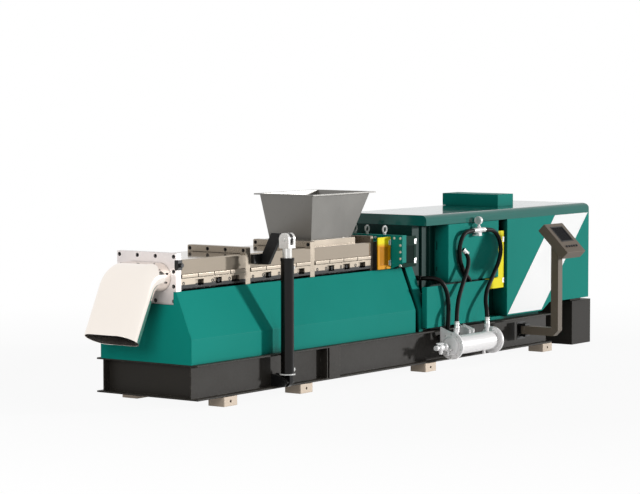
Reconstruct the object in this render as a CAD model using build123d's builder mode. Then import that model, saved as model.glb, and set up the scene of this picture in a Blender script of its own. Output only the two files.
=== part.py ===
"""Twin-screw plastic extruder on a beam base.

Millimetres, +Z up.  +X runs from the discharge end to the drive end, and the
operator's side faces -Y.  Stations are measured in the machine's own layout:
x from the front of the base, y from the barrel's axis, z from the floor.
place() moves a station to the part's frame, whose origin is the middle of the
machine's plan, on the floor.
"""
import os
from math import cos, radians, sin, tan

from build123d import *

os.makedirs("parts", exist_ok=True)

# Base frame: rolled I-beams on eight feet
BASE_UNDER_HOOD = 2470.0          # how far the beams run on under the hood
BEAM_HEIGHT = 330.0
BEAM_WIDTH = 168.0
FLANGE_THICKNESS = 15.0
WEB_THICKNESS = 12.0
BEAM_SPREAD = 1056.0              # web to web
FOOT_HEIGHT = 90.0
FOOT_LENGTH = 211.0
FOOT_WIDTH = 190.0
FOOT_INSETS = (478.0, 110.0)       # first and last foot from the ends of the beams
SECOND_FOOT = 1676.0
THIRD_FOOT_LEAD = 19.0            # third foot ahead of the hood
CROSS_INSET = 84.0
CROSS_LEADS = (1940.0, 290.0, -1320.0)    # ahead of the hood
JOINT_PLATE_START = 2073.0        # full-height plate where the beams are joined
JOINT_PLATE_LENGTH = 178.0
ANCHOR_R = 13.0

# Cabinet under the barrel
CABINET_TAIL = 165.0              # past the lantern flange
HOOD_GAP = 200.0                  # from the cabinet to the hood
CABINET_HALF = 550.0
CABINET_TOP_HALF = 369.0
CABINET_FOLD = 235.0              # height of the upright band
CABINET_HEIGHT = 670.0
COVER_THICKNESS = 8.0
COVER_OVERHANG = 14.0
NOTCH_HALF = 340.0
NOTCH_DEPTH = 122.0
END_STRIP_GAP = 66.0
END_STRIP_LENGTH = 76.0

# Barrel: three sections between upright plates
PLATE_HALF = 356.0
PLATE_TOP = 1446.0
PLATE_THICKNESS = 75.0
DIE_PLATE_START = 6.0
DIE_PLATE_HEIGHT = 480.0
SECTION_LENGTH = 973.0
LAST_PLATE_THICKNESS = 46.0
BARREL_HALF = 356.0
BARREL_AXIS = 1226.0              # parting plane and screw axes
LID_TOP = 1382.0
RAIL_HALF = 240.0
RAIL_HEIGHT = 22.0
BORE_R = 70.0
SCREW_SPACING = 115.0
SCREW_R = 66.0
SCREW_ROOT_R = 44.0
SCREW_TURNS = 4
SEAM_STEP = 24.0                  # set-back of the parting faces
KNUCKLE_HEIGHT = 42.0
KNUCKLE_GAP = 9.0
KNUCKLES = 4
BOLT_R = 11.0
BOLT_HALF_SPREAD = 328.0
BOLT_TOP_EDGE = 32.0              # from a plate's top to its first row
DIE_BOLT_HEIGHT = 414.0

# Discharge duct
DUCT_WIDTH = 590.0
DUCT_HEIGHT = 272.0
DUCT_WALL = 8.0
DUCT_AXIS = 1219.0
DUCT_RUN = 225.0
DUCT_LEG = 618.0
DUCT_LEAN = 26.0                  # degrees from upright
DUCT_BEND = 190.0

# Feed hopper
FEED_START = 70.0                 # from the start of the third section
FEED_LENGTH = 690.0
FEED_HALF = 260.0
FEED_BLOCK_WALL = 30.0
THROAT_MARGIN = 90.0
THROAT_HALF = 122.0
HOPPER_HEIGHT = 460.0
HOPPER_MOUTH_LENGTH = 1000.0
HOPPER_MOUTH_HALF = 330.0
HOPPER_WALL = 8.0
HOPPER_LIP = 42.0
HOPPER_LIP_THICKNESS = 12.0
HOPPER_FRONT_FLARE = 70.0

# Lid ram
RAM_INSET = 146.0                 # from the start of the second section
RAM_R = 64.0
RAM_Y = -690.0
RAM_FOOT_PIN = 152.0              # height of the lower pin
RAM_HEAD_PIN = 1529.0
RAM_PIN_R = 22.0
RAM_TUBE_BOTTOM = 222.0
RAM_TUBE_TOP = 1345.0
RAM_EAR_THICKNESS = 32.0
RAM_EAR_GAP = 50.0
RAM_EAR_WIDTH = 112.0
PIN_CLEARANCE = 0.5
ARM_THICKNESS = 40.0

# Lantern and its flange
LANTERN_GAP = 254.0               # from the last plate to the lantern flange
LANTERN_FLANGE_THICKNESS = 75.0
LANTERN_FLANGE_HALF = 545.0
LANTERN_TOP = 1442.0
LANTERN_BODY_HALF = 300.0
EYE_R = 34.0
EYE_BAR_R = 9.0

# Guard doors
GUARD_THICKNESS = 12.0
GUARD_BOTTOM = 1098.0
GUARD_TOP = 1428.0
GUARD_FRONT_Y = -412.0
GUARD_MIDDLE_Y = -440.0
GUARD_REAR_Y = -520.0
GUARD_REAR_GAP = 74.0             # from the cover panel to the rear door
GUARD_CLEARANCE = 8.0
HINGE_R = 9.0
HINGE_LENGTH = 56.0

# Hood over gears and motor
HOOD_LENGTH = 3400.0
HOOD_HALF = 550.0
HOOD_BOTTOM = 455.0
HOOD_TOP = 1630.0
HOOD_ROUND = 60.0
ROOF_HEIGHT = 110.0
BAY_LENGTH = 1610.0
BAY_DEPTH = 180.0
REAR_RISE = 85.0
REAR_STEP_INSET = 2360.0
REAR_STEP_LENGTH = 163.0
SILL_INSET = 50.0
GEARBOX_INSET = 430.0
GEARBOX_LENGTH = 1010.0
GEARBOX_BOTTOM = 897.0
GEARBOX_PROUD = 175.0             # how far it stands out into the bay
LOUVRE_WIDTH = 12.0
RIB_DEPTH = 24.0
RIB_INSETS = (150.0, 290.0)
RIB_WIDTH = 40.0
MANIFOLD_START = 70.0
MANIFOLD_LENGTH = 1020.0
MANIFOLD_TOP = 800.0
COVER_PANEL_LAP = 80.0
COVER_PANEL_LENGTH = 1210.0
COVER_PANEL_TOP = 888.0
COVER_PANEL_SHEET = 8.0
COVER_PANEL_Y = -612.0
ROOF_BOX_INSET = 1980.0
ROOF_BOX_LENGTH = 325.0
ROOF_BOX_HEIGHT = 135.0
ROOF_BOX_NEAR = -195.0
ROOF_BOX_FAR = 540.0
PEDESTAL_LAP = 286.0
PEDESTAL_LENGTH = 421.0
PEDESTAL_HALF = 500.0
PEDESTAL_TOP = 505.0

# Oil system
COOLER_INSET = 115.0
COOLER_LENGTH = 880.0
COOLER_Y = -770.0
COOLER_Z = 262.0
COOLER_R = 100.0
COOLER_FLANGE_R = 143.0
COOLER_FLANGE_THICKNESS = 26.0
COOLER_CAP_DEPTH = 34.0
PORT_R = 28.0
PORT_TOP = 440.0
PORT_INSETS = (135.0, 735.0)
TEE_INSET = 510.0                 # along the gearbox
TEE_Y = -605.0
TEE_Z = 1434.0
TEE_R = 26.0
TEE_LENGTH = 70.0
GAUGE_Z = 1538.0
GAUGE_R = 42.0
GAUGE_DEPTH = 34.0
HOSE_D = 46.0

# Operator station
ARM_INSET = 1795.0
ARM_SIZE = 90.0
ARM_PIVOT_Y = -665.0
ARM_RUN_Z = 292.0                 # axis of the level run
POST_Y = -1070.0
PANEL_WIDTH = 392.0
PANEL_LENGTH = 421.0
PANEL_DEPTH = 102.0
PANEL_TILT = 45.0
PANEL_CHAMFER = 4.0
PANEL_TOP_Y = -1022.0
PANEL_TOP_Z = 1478.0
PIVOT_R = 16.0
PIVOT_HUB_R = 42.0
PIVOT_EAR = 22.0

BEAM_Y = BEAM_SPREAD / 2
BEAM_BOTTOM = FOOT_HEIGHT
BEAM_TOP = FOOT_HEIGHT + BEAM_HEIGHT
BEAM_EDGE = BEAM_Y + BEAM_WIDTH / 2
CABINET_TOP = BEAM_TOP + CABINET_HEIGHT

# Stations along the machine, each counted from the piece before it
die_plate_x = DIE_PLATE_START
section_starts = [die_plate_x + PLATE_THICKNESS + i * (SECTION_LENGTH + PLATE_THICKNESS) for i in range(3)]
plate_starts = [x + SECTION_LENGTH for x in section_starts]
last_plate_end = plate_starts[2] + LAST_PLATE_THICKNESS
ram_x = section_starts[1] + RAM_INSET
lantern_flange_x = last_plate_end + LANTERN_GAP
flange_end = lantern_flange_x + LANTERN_FLANGE_THICKNESS
cabinet_length = flange_end + CABINET_TAIL
hood_x = cabinet_length + HOOD_GAP
hood_end = hood_x + HOOD_LENGTH
base_length = hood_x + BASE_UNDER_HOOD
bay_end = hood_x + BAY_LENGTH
rear_step_start = hood_x + REAR_STEP_INSET
rear_step_end = rear_step_start + REAR_STEP_LENGTH
gearbox_x = hood_x + GEARBOX_INSET
cover_panel_x = hood_x - COVER_PANEL_LAP
roof_box_x = hood_x + ROOF_BOX_INSET
pedestal_x = hood_end - PEDESTAL_LAP
cooler_x = hood_x + COOLER_INSET
port_stations = [cooler_x + inset for inset in PORT_INSETS]
tee_x = gearbox_x + TEE_INSET
arm_x = hood_x + ARM_INSET
foot_stations = (FOOT_INSETS[0], SECOND_FOOT, hood_x - THIRD_FOOT_LEAD, base_length - FOOT_INSETS[1])
cross_stations = (CROSS_INSET, *(hood_x - lead for lead in CROSS_LEADS), base_length - CROSS_INSET)

mouth_x = -DUCT_RUN - DUCT_LEG * sin(radians(DUCT_LEAN))
mouth_z = DUCT_AXIS - DUCT_LEG * cos(radians(DUCT_LEAN))
front_limit = mouth_x - DUCT_HEIGHT / 2 * cos(radians(DUCT_LEAN))
rear_limit = pedestal_x + PEDESTAL_LENGTH
near_limit = PANEL_TOP_Y - (PANEL_LENGTH - PANEL_CHAMFER) * cos(radians(PANEL_TILT))
far_limit = max(BEAM_EDGE, BEAM_Y + FOOT_WIDTH / 2)
MIDDLE_X = (front_limit + rear_limit) / 2
MIDDLE_Y = (near_limit + far_limit) / 2


def place(x, y, z):
    """A station of the machine's layout in the part's frame."""
    return (x - MIDDLE_X, y - MIDDLE_Y, z)


def block(x0, x1, y0, y1, z0, z1, mode=Mode.ADD):
    """A rectangular block between two corners."""
    with Locations(place((x0 + x1) / 2, (y0 + y1) / 2, (z0 + z1) / 2)):
        Box(abs(x1 - x0), abs(y1 - y0), abs(z1 - z0), mode=mode)


def round_bar(x, y, z, r, length, axis, mode=Mode.ADD):
    """A round bar or hole centred on a station, along one axis."""
    turn = {"x": (0, 90, 0), "y": (90, 0, 0), "z": (0, 0, 0)}[axis]
    with Locations(Location(place(x, y, z), turn)):
        Cylinder(r, length, mode=mode)


def across(x):
    """The plane across the machine at x, for outlines in (y, z)."""
    return Plane(origin=place(x, 0, 0), x_dir=(0, 1, 0), z_dir=(1, 0, 0))


def along(y):
    """The upright plane at y seen from the operator's side, for outlines in (x, z)."""
    return Plane(origin=place(0, y, 0), x_dir=(1, 0, 0), z_dir=(0, -1, 0))


def level(z):
    """The level plane at z, for outlines in (x, y)."""
    return Plane(origin=place(0, 0, z), x_dir=(1, 0, 0), z_dir=(0, 0, 1))


def save(piece, name):
    piece.part.label = name
    export_step(piece.part, "parts/" + name + ".step")


# Base

def make_beam(side):
    """One long I-beam with its joint plate and foot bolt holes."""
    half_w, half_t = BEAM_WIDTH / 2, WEB_THICKNESS / 2
    top, bottom = BEAM_TOP - FLANGE_THICKNESS, BEAM_BOTTOM + FLANGE_THICKNESS
    y = side * BEAM_Y
    with BuildPart() as beam:
        with BuildSketch(across(0)):
            with BuildLine():
                Polyline((y - half_w, BEAM_BOTTOM), (y + half_w, BEAM_BOTTOM), (y + half_w, bottom),
                         (y + half_t, bottom), (y + half_t, top), (y + half_w, top),
                         (y + half_w, BEAM_TOP), (y - half_w, BEAM_TOP), (y - half_w, top),
                         (y - half_t, top), (y - half_t, bottom), (y - half_w, bottom), close=True)
            make_face()
        extrude(amount=base_length)
        block(JOINT_PLATE_START, JOINT_PLATE_START + JOINT_PLATE_LENGTH,
              y + side * half_t, y + side * half_w, bottom, top)
        block(JOINT_PLATE_START - 40, JOINT_PLATE_START - 28,
              y + side * half_t, y + side * half_w, bottom, top)
    return beam


for name, side in (("beam_near", -1), ("beam_far", 1)):
    save(make_beam(side), name)

with BuildPart() as cross_beams:
    reach = BEAM_Y - BEAM_WIDTH / 2
    for x in cross_stations:
        half_w, half_t = BEAM_WIDTH / 2, WEB_THICKNESS / 2
        block(x - half_w, x + half_w, -reach, reach, BEAM_TOP - FLANGE_THICKNESS, BEAM_TOP)
        block(x - half_w, x + half_w, -reach, reach, BEAM_BOTTOM, BEAM_BOTTOM + FLANGE_THICKNESS)
        web_reach = BEAM_Y - half_t
        block(x - half_t, x + half_t, -web_reach, web_reach,
              BEAM_BOTTOM + FLANGE_THICKNESS, BEAM_TOP - FLANGE_THICKNESS)
save(cross_beams, "cross_beams")

with BuildPart() as feet:
    for x in foot_stations:
        for side in (-1, 1):
            with Locations(place(x, side * BEAM_Y, FOOT_HEIGHT / 2)):
                Box(FOOT_LENGTH, FOOT_WIDTH, FOOT_HEIGHT)
    chamfer(feet.edges().filter_by(Axis.Z), 8)
    for x in foot_stations:
        for side in (-1, 1):
            y = side * (BEAM_Y + FOOT_WIDTH / 2)
            round_bar(x, y, FOOT_HEIGHT / 2, ANCHOR_R, 120, "y", mode=Mode.SUBTRACT)
save(feet, "feet")

# Cabinet


def cabinet_outline(inset=0.0):
    """Corners of the cabinet's section: an upright band under two sloping sides."""
    low, high = CABINET_HALF - inset, CABINET_TOP_HALF - inset
    fold = BEAM_TOP + CABINET_FOLD
    top = CABINET_TOP - inset
    return [(-low, BEAM_TOP), (low, BEAM_TOP), (low, fold), (high, top), (-high, top), (-low, fold)]


POCKET_CLEARANCE = 2.0
die_plate_bottom = PLATE_TOP - DIE_PLATE_HEIGHT

with BuildPart() as cabinet:
    with BuildSketch(across(-COVER_OVERHANG + COVER_THICKNESS)):
        with BuildLine():
            Polyline(*cabinet_outline(), close=True)
        make_face()
    extrude(amount=cabinet_length + COVER_OVERHANG - COVER_THICKNESS)
    block(-COVER_OVERHANG, die_plate_x + PLATE_THICKNESS + POCKET_CLEARANCE,
          -PLATE_HALF - POCKET_CLEARANCE, PLATE_HALF + POCKET_CLEARANCE,
          die_plate_bottom, CABINET_TOP + 1, mode=Mode.SUBTRACT)
save(cabinet, "cabinet")

with BuildPart() as cabinet_cover:
    with BuildSketch(across(-COVER_OVERHANG)) as cover_face:
        with BuildLine():
            Polyline(*cabinet_outline(), close=True)
        make_face()
        with Locations((0, CABINET_TOP)):
            Rectangle(2 * NOTCH_HALF, 2 * NOTCH_DEPTH, mode=Mode.SUBTRACT)
    extrude(amount=COVER_THICKNESS)
save(cabinet_cover, "cabinet_cover")

strip_x = cabinet_length + END_STRIP_GAP
with BuildPart() as cabinet_end_strip:
    with BuildSketch(across(strip_x)):
        with BuildLine():
            Polyline(*cabinet_outline(), close=True)
        make_face()
    extrude(amount=hood_x - strip_x)
    with BuildSketch(across(cabinet_length)):
        with BuildLine():
            Polyline(*cabinet_outline(40.0), close=True)
        make_face()
    extrude(amount=END_STRIP_GAP)
    block(strip_x + END_STRIP_LENGTH, hood_x, -CABINET_HALF - 1, -CABINET_HALF + 30,
          BEAM_TOP, CABINET_TOP, mode=Mode.SUBTRACT)
save(cabinet_end_strip, "cabinet_end_strip")

# Barrel
rail_top = CABINET_TOP + RAIL_HEIGHT

with BuildPart() as barrel_rail:
    for x in section_starts:
        block(x, x + SECTION_LENGTH, -RAIL_HALF, RAIL_HALF, CABINET_TOP, rail_top)
save(barrel_rail, "barrel_rail")

with BuildPart() as die_plate:
    block(die_plate_x, die_plate_x + PLATE_THICKNESS, -PLATE_HALF, PLATE_HALF, die_plate_bottom, PLATE_TOP)
    chamfer(die_plate.edges().filter_by(Axis.X), 6)
    first_row = PLATE_TOP - BOLT_TOP_EDGE
    middle = die_plate_x + PLATE_THICKNESS / 2
    for row in range(4):
        z = first_row - DIE_BOLT_HEIGHT * row / 3
        columns = (-1, -1 / 3, 1 / 3, 1) if row in (0, 3) else (-1, 1)
        for c in columns:
            round_bar(middle, c * BOLT_HALF_SPREAD, z, BOLT_R, PLATE_THICKNESS + 2, "x", mode=Mode.SUBTRACT)
save(die_plate, "die_plate")

with BuildPart() as sensor_plug:
    block(die_plate_x - 21, die_plate_x + 39, -PLATE_HALF - 44, -PLATE_HALF, 1290, 1385)
    chamfer(sensor_plug.edges().filter_by(Axis.Y), 8)
    round_bar(die_plate_x + 9, -PLATE_HALF - 58, 1337, 20, 28, "y")
save(sensor_plug, "sensor_plug")


def barrel_half(x, upper, feed_opening=False):
    """One half of a barrel section, with its share of the two joined bores."""
    end = x + SECTION_LENGTH
    with BuildPart() as half:
        if upper:
            block(x, end, -BARREL_HALF, BARREL_HALF, BARREL_AXIS + KNUCKLE_HEIGHT / 2, LID_TOP)
            block(x, end, SEAM_STEP - BARREL_HALF, BARREL_HALF - SEAM_STEP,
                  BARREL_AXIS, BARREL_AXIS + KNUCKLE_HEIGHT / 2)
            chamfer(half.edges().filter_by(Axis.X).group_by(Axis.Z)[-1], 12)
        else:
            block(x, end, -BARREL_HALF, BARREL_HALF, rail_top, BARREL_AXIS - KNUCKLE_HEIGHT / 2)
            block(x, end, SEAM_STEP - BARREL_HALF, BARREL_HALF - SEAM_STEP,
                  BARREL_AXIS - KNUCKLE_HEIGHT / 2, BARREL_AXIS)
            pocket_half = SECTION_LENGTH / 16
            for share in (0.28, 0.56, 0.84):
                xc = x + share * SECTION_LENGTH
                for side in (-1, 1):
                    block(xc - pocket_half, xc + pocket_half, side * (BARREL_HALF - 40), side * (BARREL_HALF + 1),
                          rail_top + 18, BARREL_AXIS - KNUCKLE_HEIGHT / 2 - 18, mode=Mode.SUBTRACT)
        for side in (-1, 1):
            round_bar(x + SECTION_LENGTH / 2, side * SCREW_SPACING / 2, BARREL_AXIS, BORE_R,
                      SECTION_LENGTH + 2, "x", mode=Mode.SUBTRACT)
        if feed_opening:
            block(x + FEED_START + THROAT_MARGIN, x + FEED_START + FEED_LENGTH - THROAT_MARGIN,
                  -THROAT_HALF, THROAT_HALF, BARREL_AXIS, LID_TOP + 1, mode=Mode.SUBTRACT)
    return half


for i, x in enumerate(section_starts, 1):
    save(barrel_half(x, False), "barrel_lower_%d" % i)
    save(barrel_half(x, True, feed_opening=(i == 3)), "barrel_lid_%d" % i)

screw_start = section_starts[2] + 5
screw_length = SECTION_LENGTH - 10
with BuildPart() as screws:
    for side, phase in ((-1, 0), (1, 90)):
        axis_start = Plane(origin=place(screw_start, side * SCREW_SPACING / 2, BARREL_AXIS),
                           x_dir=(0, cos(radians(phase)), sin(radians(phase))), z_dir=(1, 0, 0))
        lobes = axis_start * Face(Wire(Edge.make_ellipse(SCREW_R, SCREW_ROOT_R)))
        twisted = Solid.extrude_linear_with_rotation(lobes, axis_start.origin,
                                                     Vector(screw_length, 0, 0), 360 * SCREW_TURNS)
        add(twisted)
        round_bar((section_starts[0] + screw_start) / 2, side * SCREW_SPACING / 2, BARREL_AXIS, SCREW_ROOT_R,
                  screw_start - section_starts[0], "x")
save(screws, "screws")

with BuildPart() as barrel_hinges:
    pitch = SECTION_LENGTH / KNUCKLES
    for x in section_starts:
        for k in range(KNUCKLES):
            xc = x + (k + 0.5) * pitch
            for side in (-1, 1):
                with Locations(place(xc, side * (BARREL_HALF - SEAM_STEP / 2 + 5), BARREL_AXIS)):
                    Box(pitch - KNUCKLE_GAP, SEAM_STEP + 10, KNUCKLE_HEIGHT)
    fillet(barrel_hinges.edges().filter_by(Axis.X), 9)
save(barrel_hinges, "barrel_hinges")


def upright_plate(x, thickness, drilled):
    """A plate between two barrel sections, standing on the cabinet."""
    middle = x + thickness / 2
    with BuildPart() as plate:
        block(x, x + thickness, -PLATE_HALF, PLATE_HALF, CABINET_TOP, PLATE_TOP)
        chamfer(plate.edges().filter_by(Axis.X).group_by(Axis.Z)[-1], 10)
        for side in (-1, 1):
            round_bar(middle, side * SCREW_SPACING / 2, BARREL_AXIS, BORE_R, thickness + 2, "x",
                      mode=Mode.SUBTRACT)
        if drilled:
            row = PLATE_TOP - BOLT_TOP_EDGE
            for c in (-1, -1 / 3, 1 / 3, 1):
                round_bar(middle, c * BOLT_HALF_SPREAD, row, BOLT_R, thickness + 2, "x", mode=Mode.SUBTRACT)
            for y in (-BOLT_HALF_SPREAD, BOLT_HALF_SPREAD):
                round_bar(middle, y, row - 122, BOLT_R, thickness + 2, "x", mode=Mode.SUBTRACT)
            block(x - 1, x + 14, -PLATE_HALF + 62, PLATE_HALF - 62, row - 44, row - 30, mode=Mode.SUBTRACT)
    return plate


save(upright_plate(plate_starts[0], PLATE_THICKNESS, True), "flange_2")
save(upright_plate(plate_starts[1], PLATE_THICKNESS, True), "flange_3")
save(upright_plate(plate_starts[2], LAST_PLATE_THICKNESS, False), "flange_4")

with BuildPart() as terminal_box:
    x = section_starts[1] + 6
    block(x, x + 110, -BARREL_HALF - 42, -BARREL_HALF, 1285, 1372)
    chamfer(terminal_box.edges().filter_by(Axis.Z), 5)
save(terminal_box, "terminal_box")

# Discharge duct: an obround tube bent down
duct_start = place(die_plate_x, 0, DUCT_AXIS)
duct_corner = place(-DUCT_RUN, 0, DUCT_AXIS)
duct_mouth = place(mouth_x, 0, mouth_z)

with BuildPart() as discharge_elbow:
    with BuildLine() as duct_path:
        FilletPolyline(duct_start, duct_corner, duct_mouth, radius=DUCT_BEND)
    duct_section = Plane(origin=duct_start, x_dir=(0, 1, 0), z_dir=(-1, 0, 0))
    with BuildSketch(duct_section):
        SlotOverall(DUCT_WIDTH, DUCT_HEIGHT)
        SlotOverall(DUCT_WIDTH - 2 * DUCT_WALL, DUCT_HEIGHT - 2 * DUCT_WALL, mode=Mode.SUBTRACT)
    sweep(path=duct_path.line)
save(discharge_elbow, "discharge_elbow")

# Lid ram on the operator's side
ear_inner, ear_outer = RAM_EAR_GAP / 2, RAM_EAR_GAP / 2 + RAM_EAR_THICKNESS

with BuildPart() as lid_arm:
    with BuildSketch(across(ram_x - ARM_THICKNESS / 2)):
        with BuildLine():
            Polyline((-BARREL_HALF, 1268), (-BARREL_HALF, 1372), (-405, 1378), (-512, RAM_HEAD_PIN + 50),
                     (RAM_Y, RAM_HEAD_PIN + 50), (RAM_Y, RAM_HEAD_PIN - 50), (-588, RAM_HEAD_PIN - 45),
                     (-474, 1272), close=True)
        make_face()
        with Locations((RAM_Y, RAM_HEAD_PIN)):
            Circle(50)
            Circle(RAM_PIN_R + PIN_CLEARANCE, mode=Mode.SUBTRACT)
    extrude(amount=ARM_THICKNESS)
save(lid_arm, "lid_arm")

with BuildPart() as ram_tube:
    round_bar(ram_x, RAM_Y, (RAM_TUBE_BOTTOM + RAM_TUBE_TOP) / 2, RAM_R, RAM_TUBE_TOP - RAM_TUBE_BOTTOM, "z")
    round_bar(ram_x, RAM_Y, RAM_TUBE_TOP - 14, RAM_R + 4, 28, "z")
    with BuildSketch(across(ram_x - RAM_EAR_GAP / 2 + 1)):
        with Locations((RAM_Y, RAM_FOOT_PIN)):
            Circle(46)
        with Locations((RAM_Y, (RAM_FOOT_PIN + RAM_TUBE_BOTTOM) / 2)):
            Rectangle(92, RAM_TUBE_BOTTOM - RAM_FOOT_PIN + 2)
        with Locations((RAM_Y, RAM_FOOT_PIN)):
            Circle(RAM_PIN_R + PIN_CLEARANCE, mode=Mode.SUBTRACT)
    extrude(amount=RAM_EAR_GAP - 2)
    round_bar(ram_x, RAM_Y, RAM_TUBE_BOTTOM + 6, RAM_R + 12, 12, "z")
    for z in (RAM_TUBE_BOTTOM + 42, RAM_TUBE_TOP - 100):
        round_bar(ram_x + RAM_R + 8, RAM_Y, z, 22, 52, "x")
save(ram_tube, "ram_tube")

with BuildPart() as ram_clevis:
    fork_base = RAM_HEAD_PIN - 92
    round_bar(ram_x, RAM_Y, (RAM_TUBE_TOP + fork_base) / 2, 46, fork_base - RAM_TUBE_TOP, "z")
    with BuildSketch(across(ram_x - ear_outer)):
        with Locations((RAM_Y, (fork_base + RAM_HEAD_PIN) / 2)):
            Rectangle(RAM_EAR_WIDTH, RAM_HEAD_PIN - fork_base)
        with Locations((RAM_Y, RAM_HEAD_PIN)):
            Circle(RAM_EAR_WIDTH / 2)
    extrude(amount=2 * ear_outer)
    block(ram_x - ear_inner, ram_x + ear_inner, RAM_Y - RAM_EAR_WIDTH, RAM_Y + RAM_EAR_WIDTH,
          fork_base + 34, RAM_HEAD_PIN + RAM_EAR_WIDTH, mode=Mode.SUBTRACT)
    round_bar(ram_x, RAM_Y, RAM_HEAD_PIN, RAM_PIN_R, 2 * ear_outer + 30, "x")
save(ram_clevis, "ram_clevis")

with BuildPart() as ram_bracket:
    for x in (ram_x - ear_outer, ram_x + ear_inner):
        with BuildSketch(across(x)):
            with BuildLine():
                Polyline((-BEAM_Y - WEB_THICKNESS / 2, BEAM_BOTTOM + FLANGE_THICKNESS),
                         (-BEAM_Y - WEB_THICKNESS / 2, 225), (-BEAM_EDGE, 215),
                         (RAM_Y, RAM_FOOT_PIN + 42), (RAM_Y - 44, RAM_FOOT_PIN),
                         (RAM_Y, RAM_FOOT_PIN - 42), (-BEAM_EDGE - 4, RAM_FOOT_PIN - 46),
                         (-BEAM_EDGE - 4, BEAM_BOTTOM + FLANGE_THICKNESS), close=True)
            make_face()
        extrude(amount=RAM_EAR_THICKNESS)
    round_bar(ram_x, RAM_Y, RAM_FOOT_PIN, RAM_PIN_R, 2 * ear_outer + 24, "x")
save(ram_bracket, "ram_bracket")

# Feed block and hopper
feed_x = section_starts[2] + FEED_START
feed_end = feed_x + FEED_LENGTH
hopper_base = PLATE_TOP - 2
hopper_top = hopper_base + HOPPER_HEIGHT
mouth_start = feed_x - HOPPER_FRONT_FLARE
mouth_end = mouth_start + HOPPER_MOUTH_LENGTH

with BuildPart() as feed_block:
    block(feed_x - FEED_BLOCK_WALL, feed_end + FEED_BLOCK_WALL, -FEED_HALF - FEED_BLOCK_WALL,
          FEED_HALF + FEED_BLOCK_WALL, LID_TOP, hopper_base)
    block(feed_x + HOPPER_WALL, feed_end - HOPPER_WALL, HOPPER_WALL - FEED_HALF, FEED_HALF - HOPPER_WALL,
          LID_TOP - 1, hopper_base + 1, mode=Mode.SUBTRACT)
save(feed_block, "feed_block")

with BuildPart() as hopper:
    for wall, mode in ((0.0, Mode.ADD), (HOPPER_WALL, Mode.SUBTRACT)):
        with BuildSketch(level(hopper_base)):
            with Locations(((feed_x + feed_end) / 2, 0)):
                Rectangle(FEED_LENGTH - 2 * wall, 2 * (FEED_HALF - wall))
        with BuildSketch(level(hopper_top)):
            with Locations(((mouth_start + mouth_end) / 2, 0)):
                Rectangle(HOPPER_MOUTH_LENGTH - 2 * wall, 2 * (HOPPER_MOUTH_HALF - wall))
        if mode == Mode.SUBTRACT:
            loft(mode=mode)
            continue
        loft()
        with BuildSketch(level(hopper_top - HOPPER_LIP_THICKNESS)):
            with Locations(((mouth_start + mouth_end) / 2, 0)):
                Rectangle(HOPPER_MOUTH_LENGTH + 2 * HOPPER_LIP, 2 * (HOPPER_MOUTH_HALF + HOPPER_LIP))
        extrude(amount=HOPPER_LIP_THICKNESS)
save(hopper, "hopper")

# Lantern between barrel and gears
with BuildPart() as lantern_flange:
    with BuildSketch(across(lantern_flange_x)):
        with BuildLine():
            Polyline((-CABINET_TOP_HALF, CABINET_TOP), (CABINET_TOP_HALF, CABINET_TOP),
                     (LANTERN_FLANGE_HALF, CABINET_TOP + 70), (LANTERN_FLANGE_HALF, LANTERN_TOP),
                     (-LANTERN_FLANGE_HALF, LANTERN_TOP), (-LANTERN_FLANGE_HALF, CABINET_TOP + 70), close=True)
        make_face()
    extrude(amount=LANTERN_FLANGE_THICKNESS)
    for side in (-1, 1):
        for y in (77, 299):
            round_bar(lantern_flange_x + LANTERN_FLANGE_THICKNESS / 2, side * y, LANTERN_TOP + 10, 15, 22, "z")
            with Locations(Location(place(lantern_flange_x + LANTERN_FLANGE_THICKNESS / 2, side * y,
                                          LANTERN_TOP + 20 + EYE_R), (90, 0, 90))):
                Torus(EYE_R, EYE_BAR_R)
save(lantern_flange, "lantern_flange")

with BuildPart() as lantern_body:
    block(last_plate_end, lantern_flange_x, -LANTERN_BODY_HALF, LANTERN_BODY_HALF, CABINET_TOP, 1380)
    block(flange_end, hood_x, -CABINET_TOP_HALF, CABINET_TOP_HALF, CABINET_TOP, 1410)
save(lantern_body, "lantern_body")

guard_back = GUARD_FRONT_Y + GUARD_THICKNESS
with BuildPart() as guard_frame:
    for x in (last_plate_end, lantern_flange_x - 14):
        block(x, x + 14, guard_back + 2, -LANTERN_BODY_HALF, GUARD_BOTTOM - 8, GUARD_TOP - 40)
    block(flange_end, flange_end + 14, GUARD_MIDDLE_Y + GUARD_THICKNESS + 2, -CABINET_TOP_HALF,
          GUARD_BOTTOM - 8, GUARD_TOP - 40)
save(guard_frame, "guard_frame")


def guard_door(x0, x1, z0, z1, y, window):
    """A sheet door with its hinge knuckles on the drive-end edge."""
    with BuildPart() as door:
        block(x0, x1, y, y + GUARD_THICKNESS, z0, z1)
        chamfer(door.edges().filter_by(Axis.Y), 6)
        if window:
            block(x0 + 30, x1 - 40, y - 1, y + 5, z0 + 40, z1 - 100, mode=Mode.SUBTRACT)
        for z in (z0 + 60, z1 - 60):
            round_bar(x1 + 1, y + GUARD_THICKNESS / 2, z, HINGE_R, HINGE_LENGTH, "z")
    return door


save(guard_door(last_plate_end + GUARD_CLEARANCE, lantern_flange_x - 20, GUARD_BOTTOM, GUARD_TOP,
                GUARD_FRONT_Y, True), "guard_front")
save(guard_door(flange_end + GUARD_CLEARANCE, hood_x - 30, GUARD_BOTTOM, GUARD_TOP - 8,
                GUARD_MIDDLE_Y, True), "guard_middle")

# Hood: housing over the gears with an open bay, and the motor's housing behind it
bay_back = BAY_DEPTH - HOOD_HALF
roof_base = HOOD_TOP - ROOF_HEIGHT

with BuildPart() as hood_sill:
    block(hood_x, rear_step_start, SILL_INSET - HOOD_HALF, HOOD_HALF - SILL_INSET, BEAM_TOP, HOOD_BOTTOM)
save(hood_sill, "hood_sill")

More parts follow.
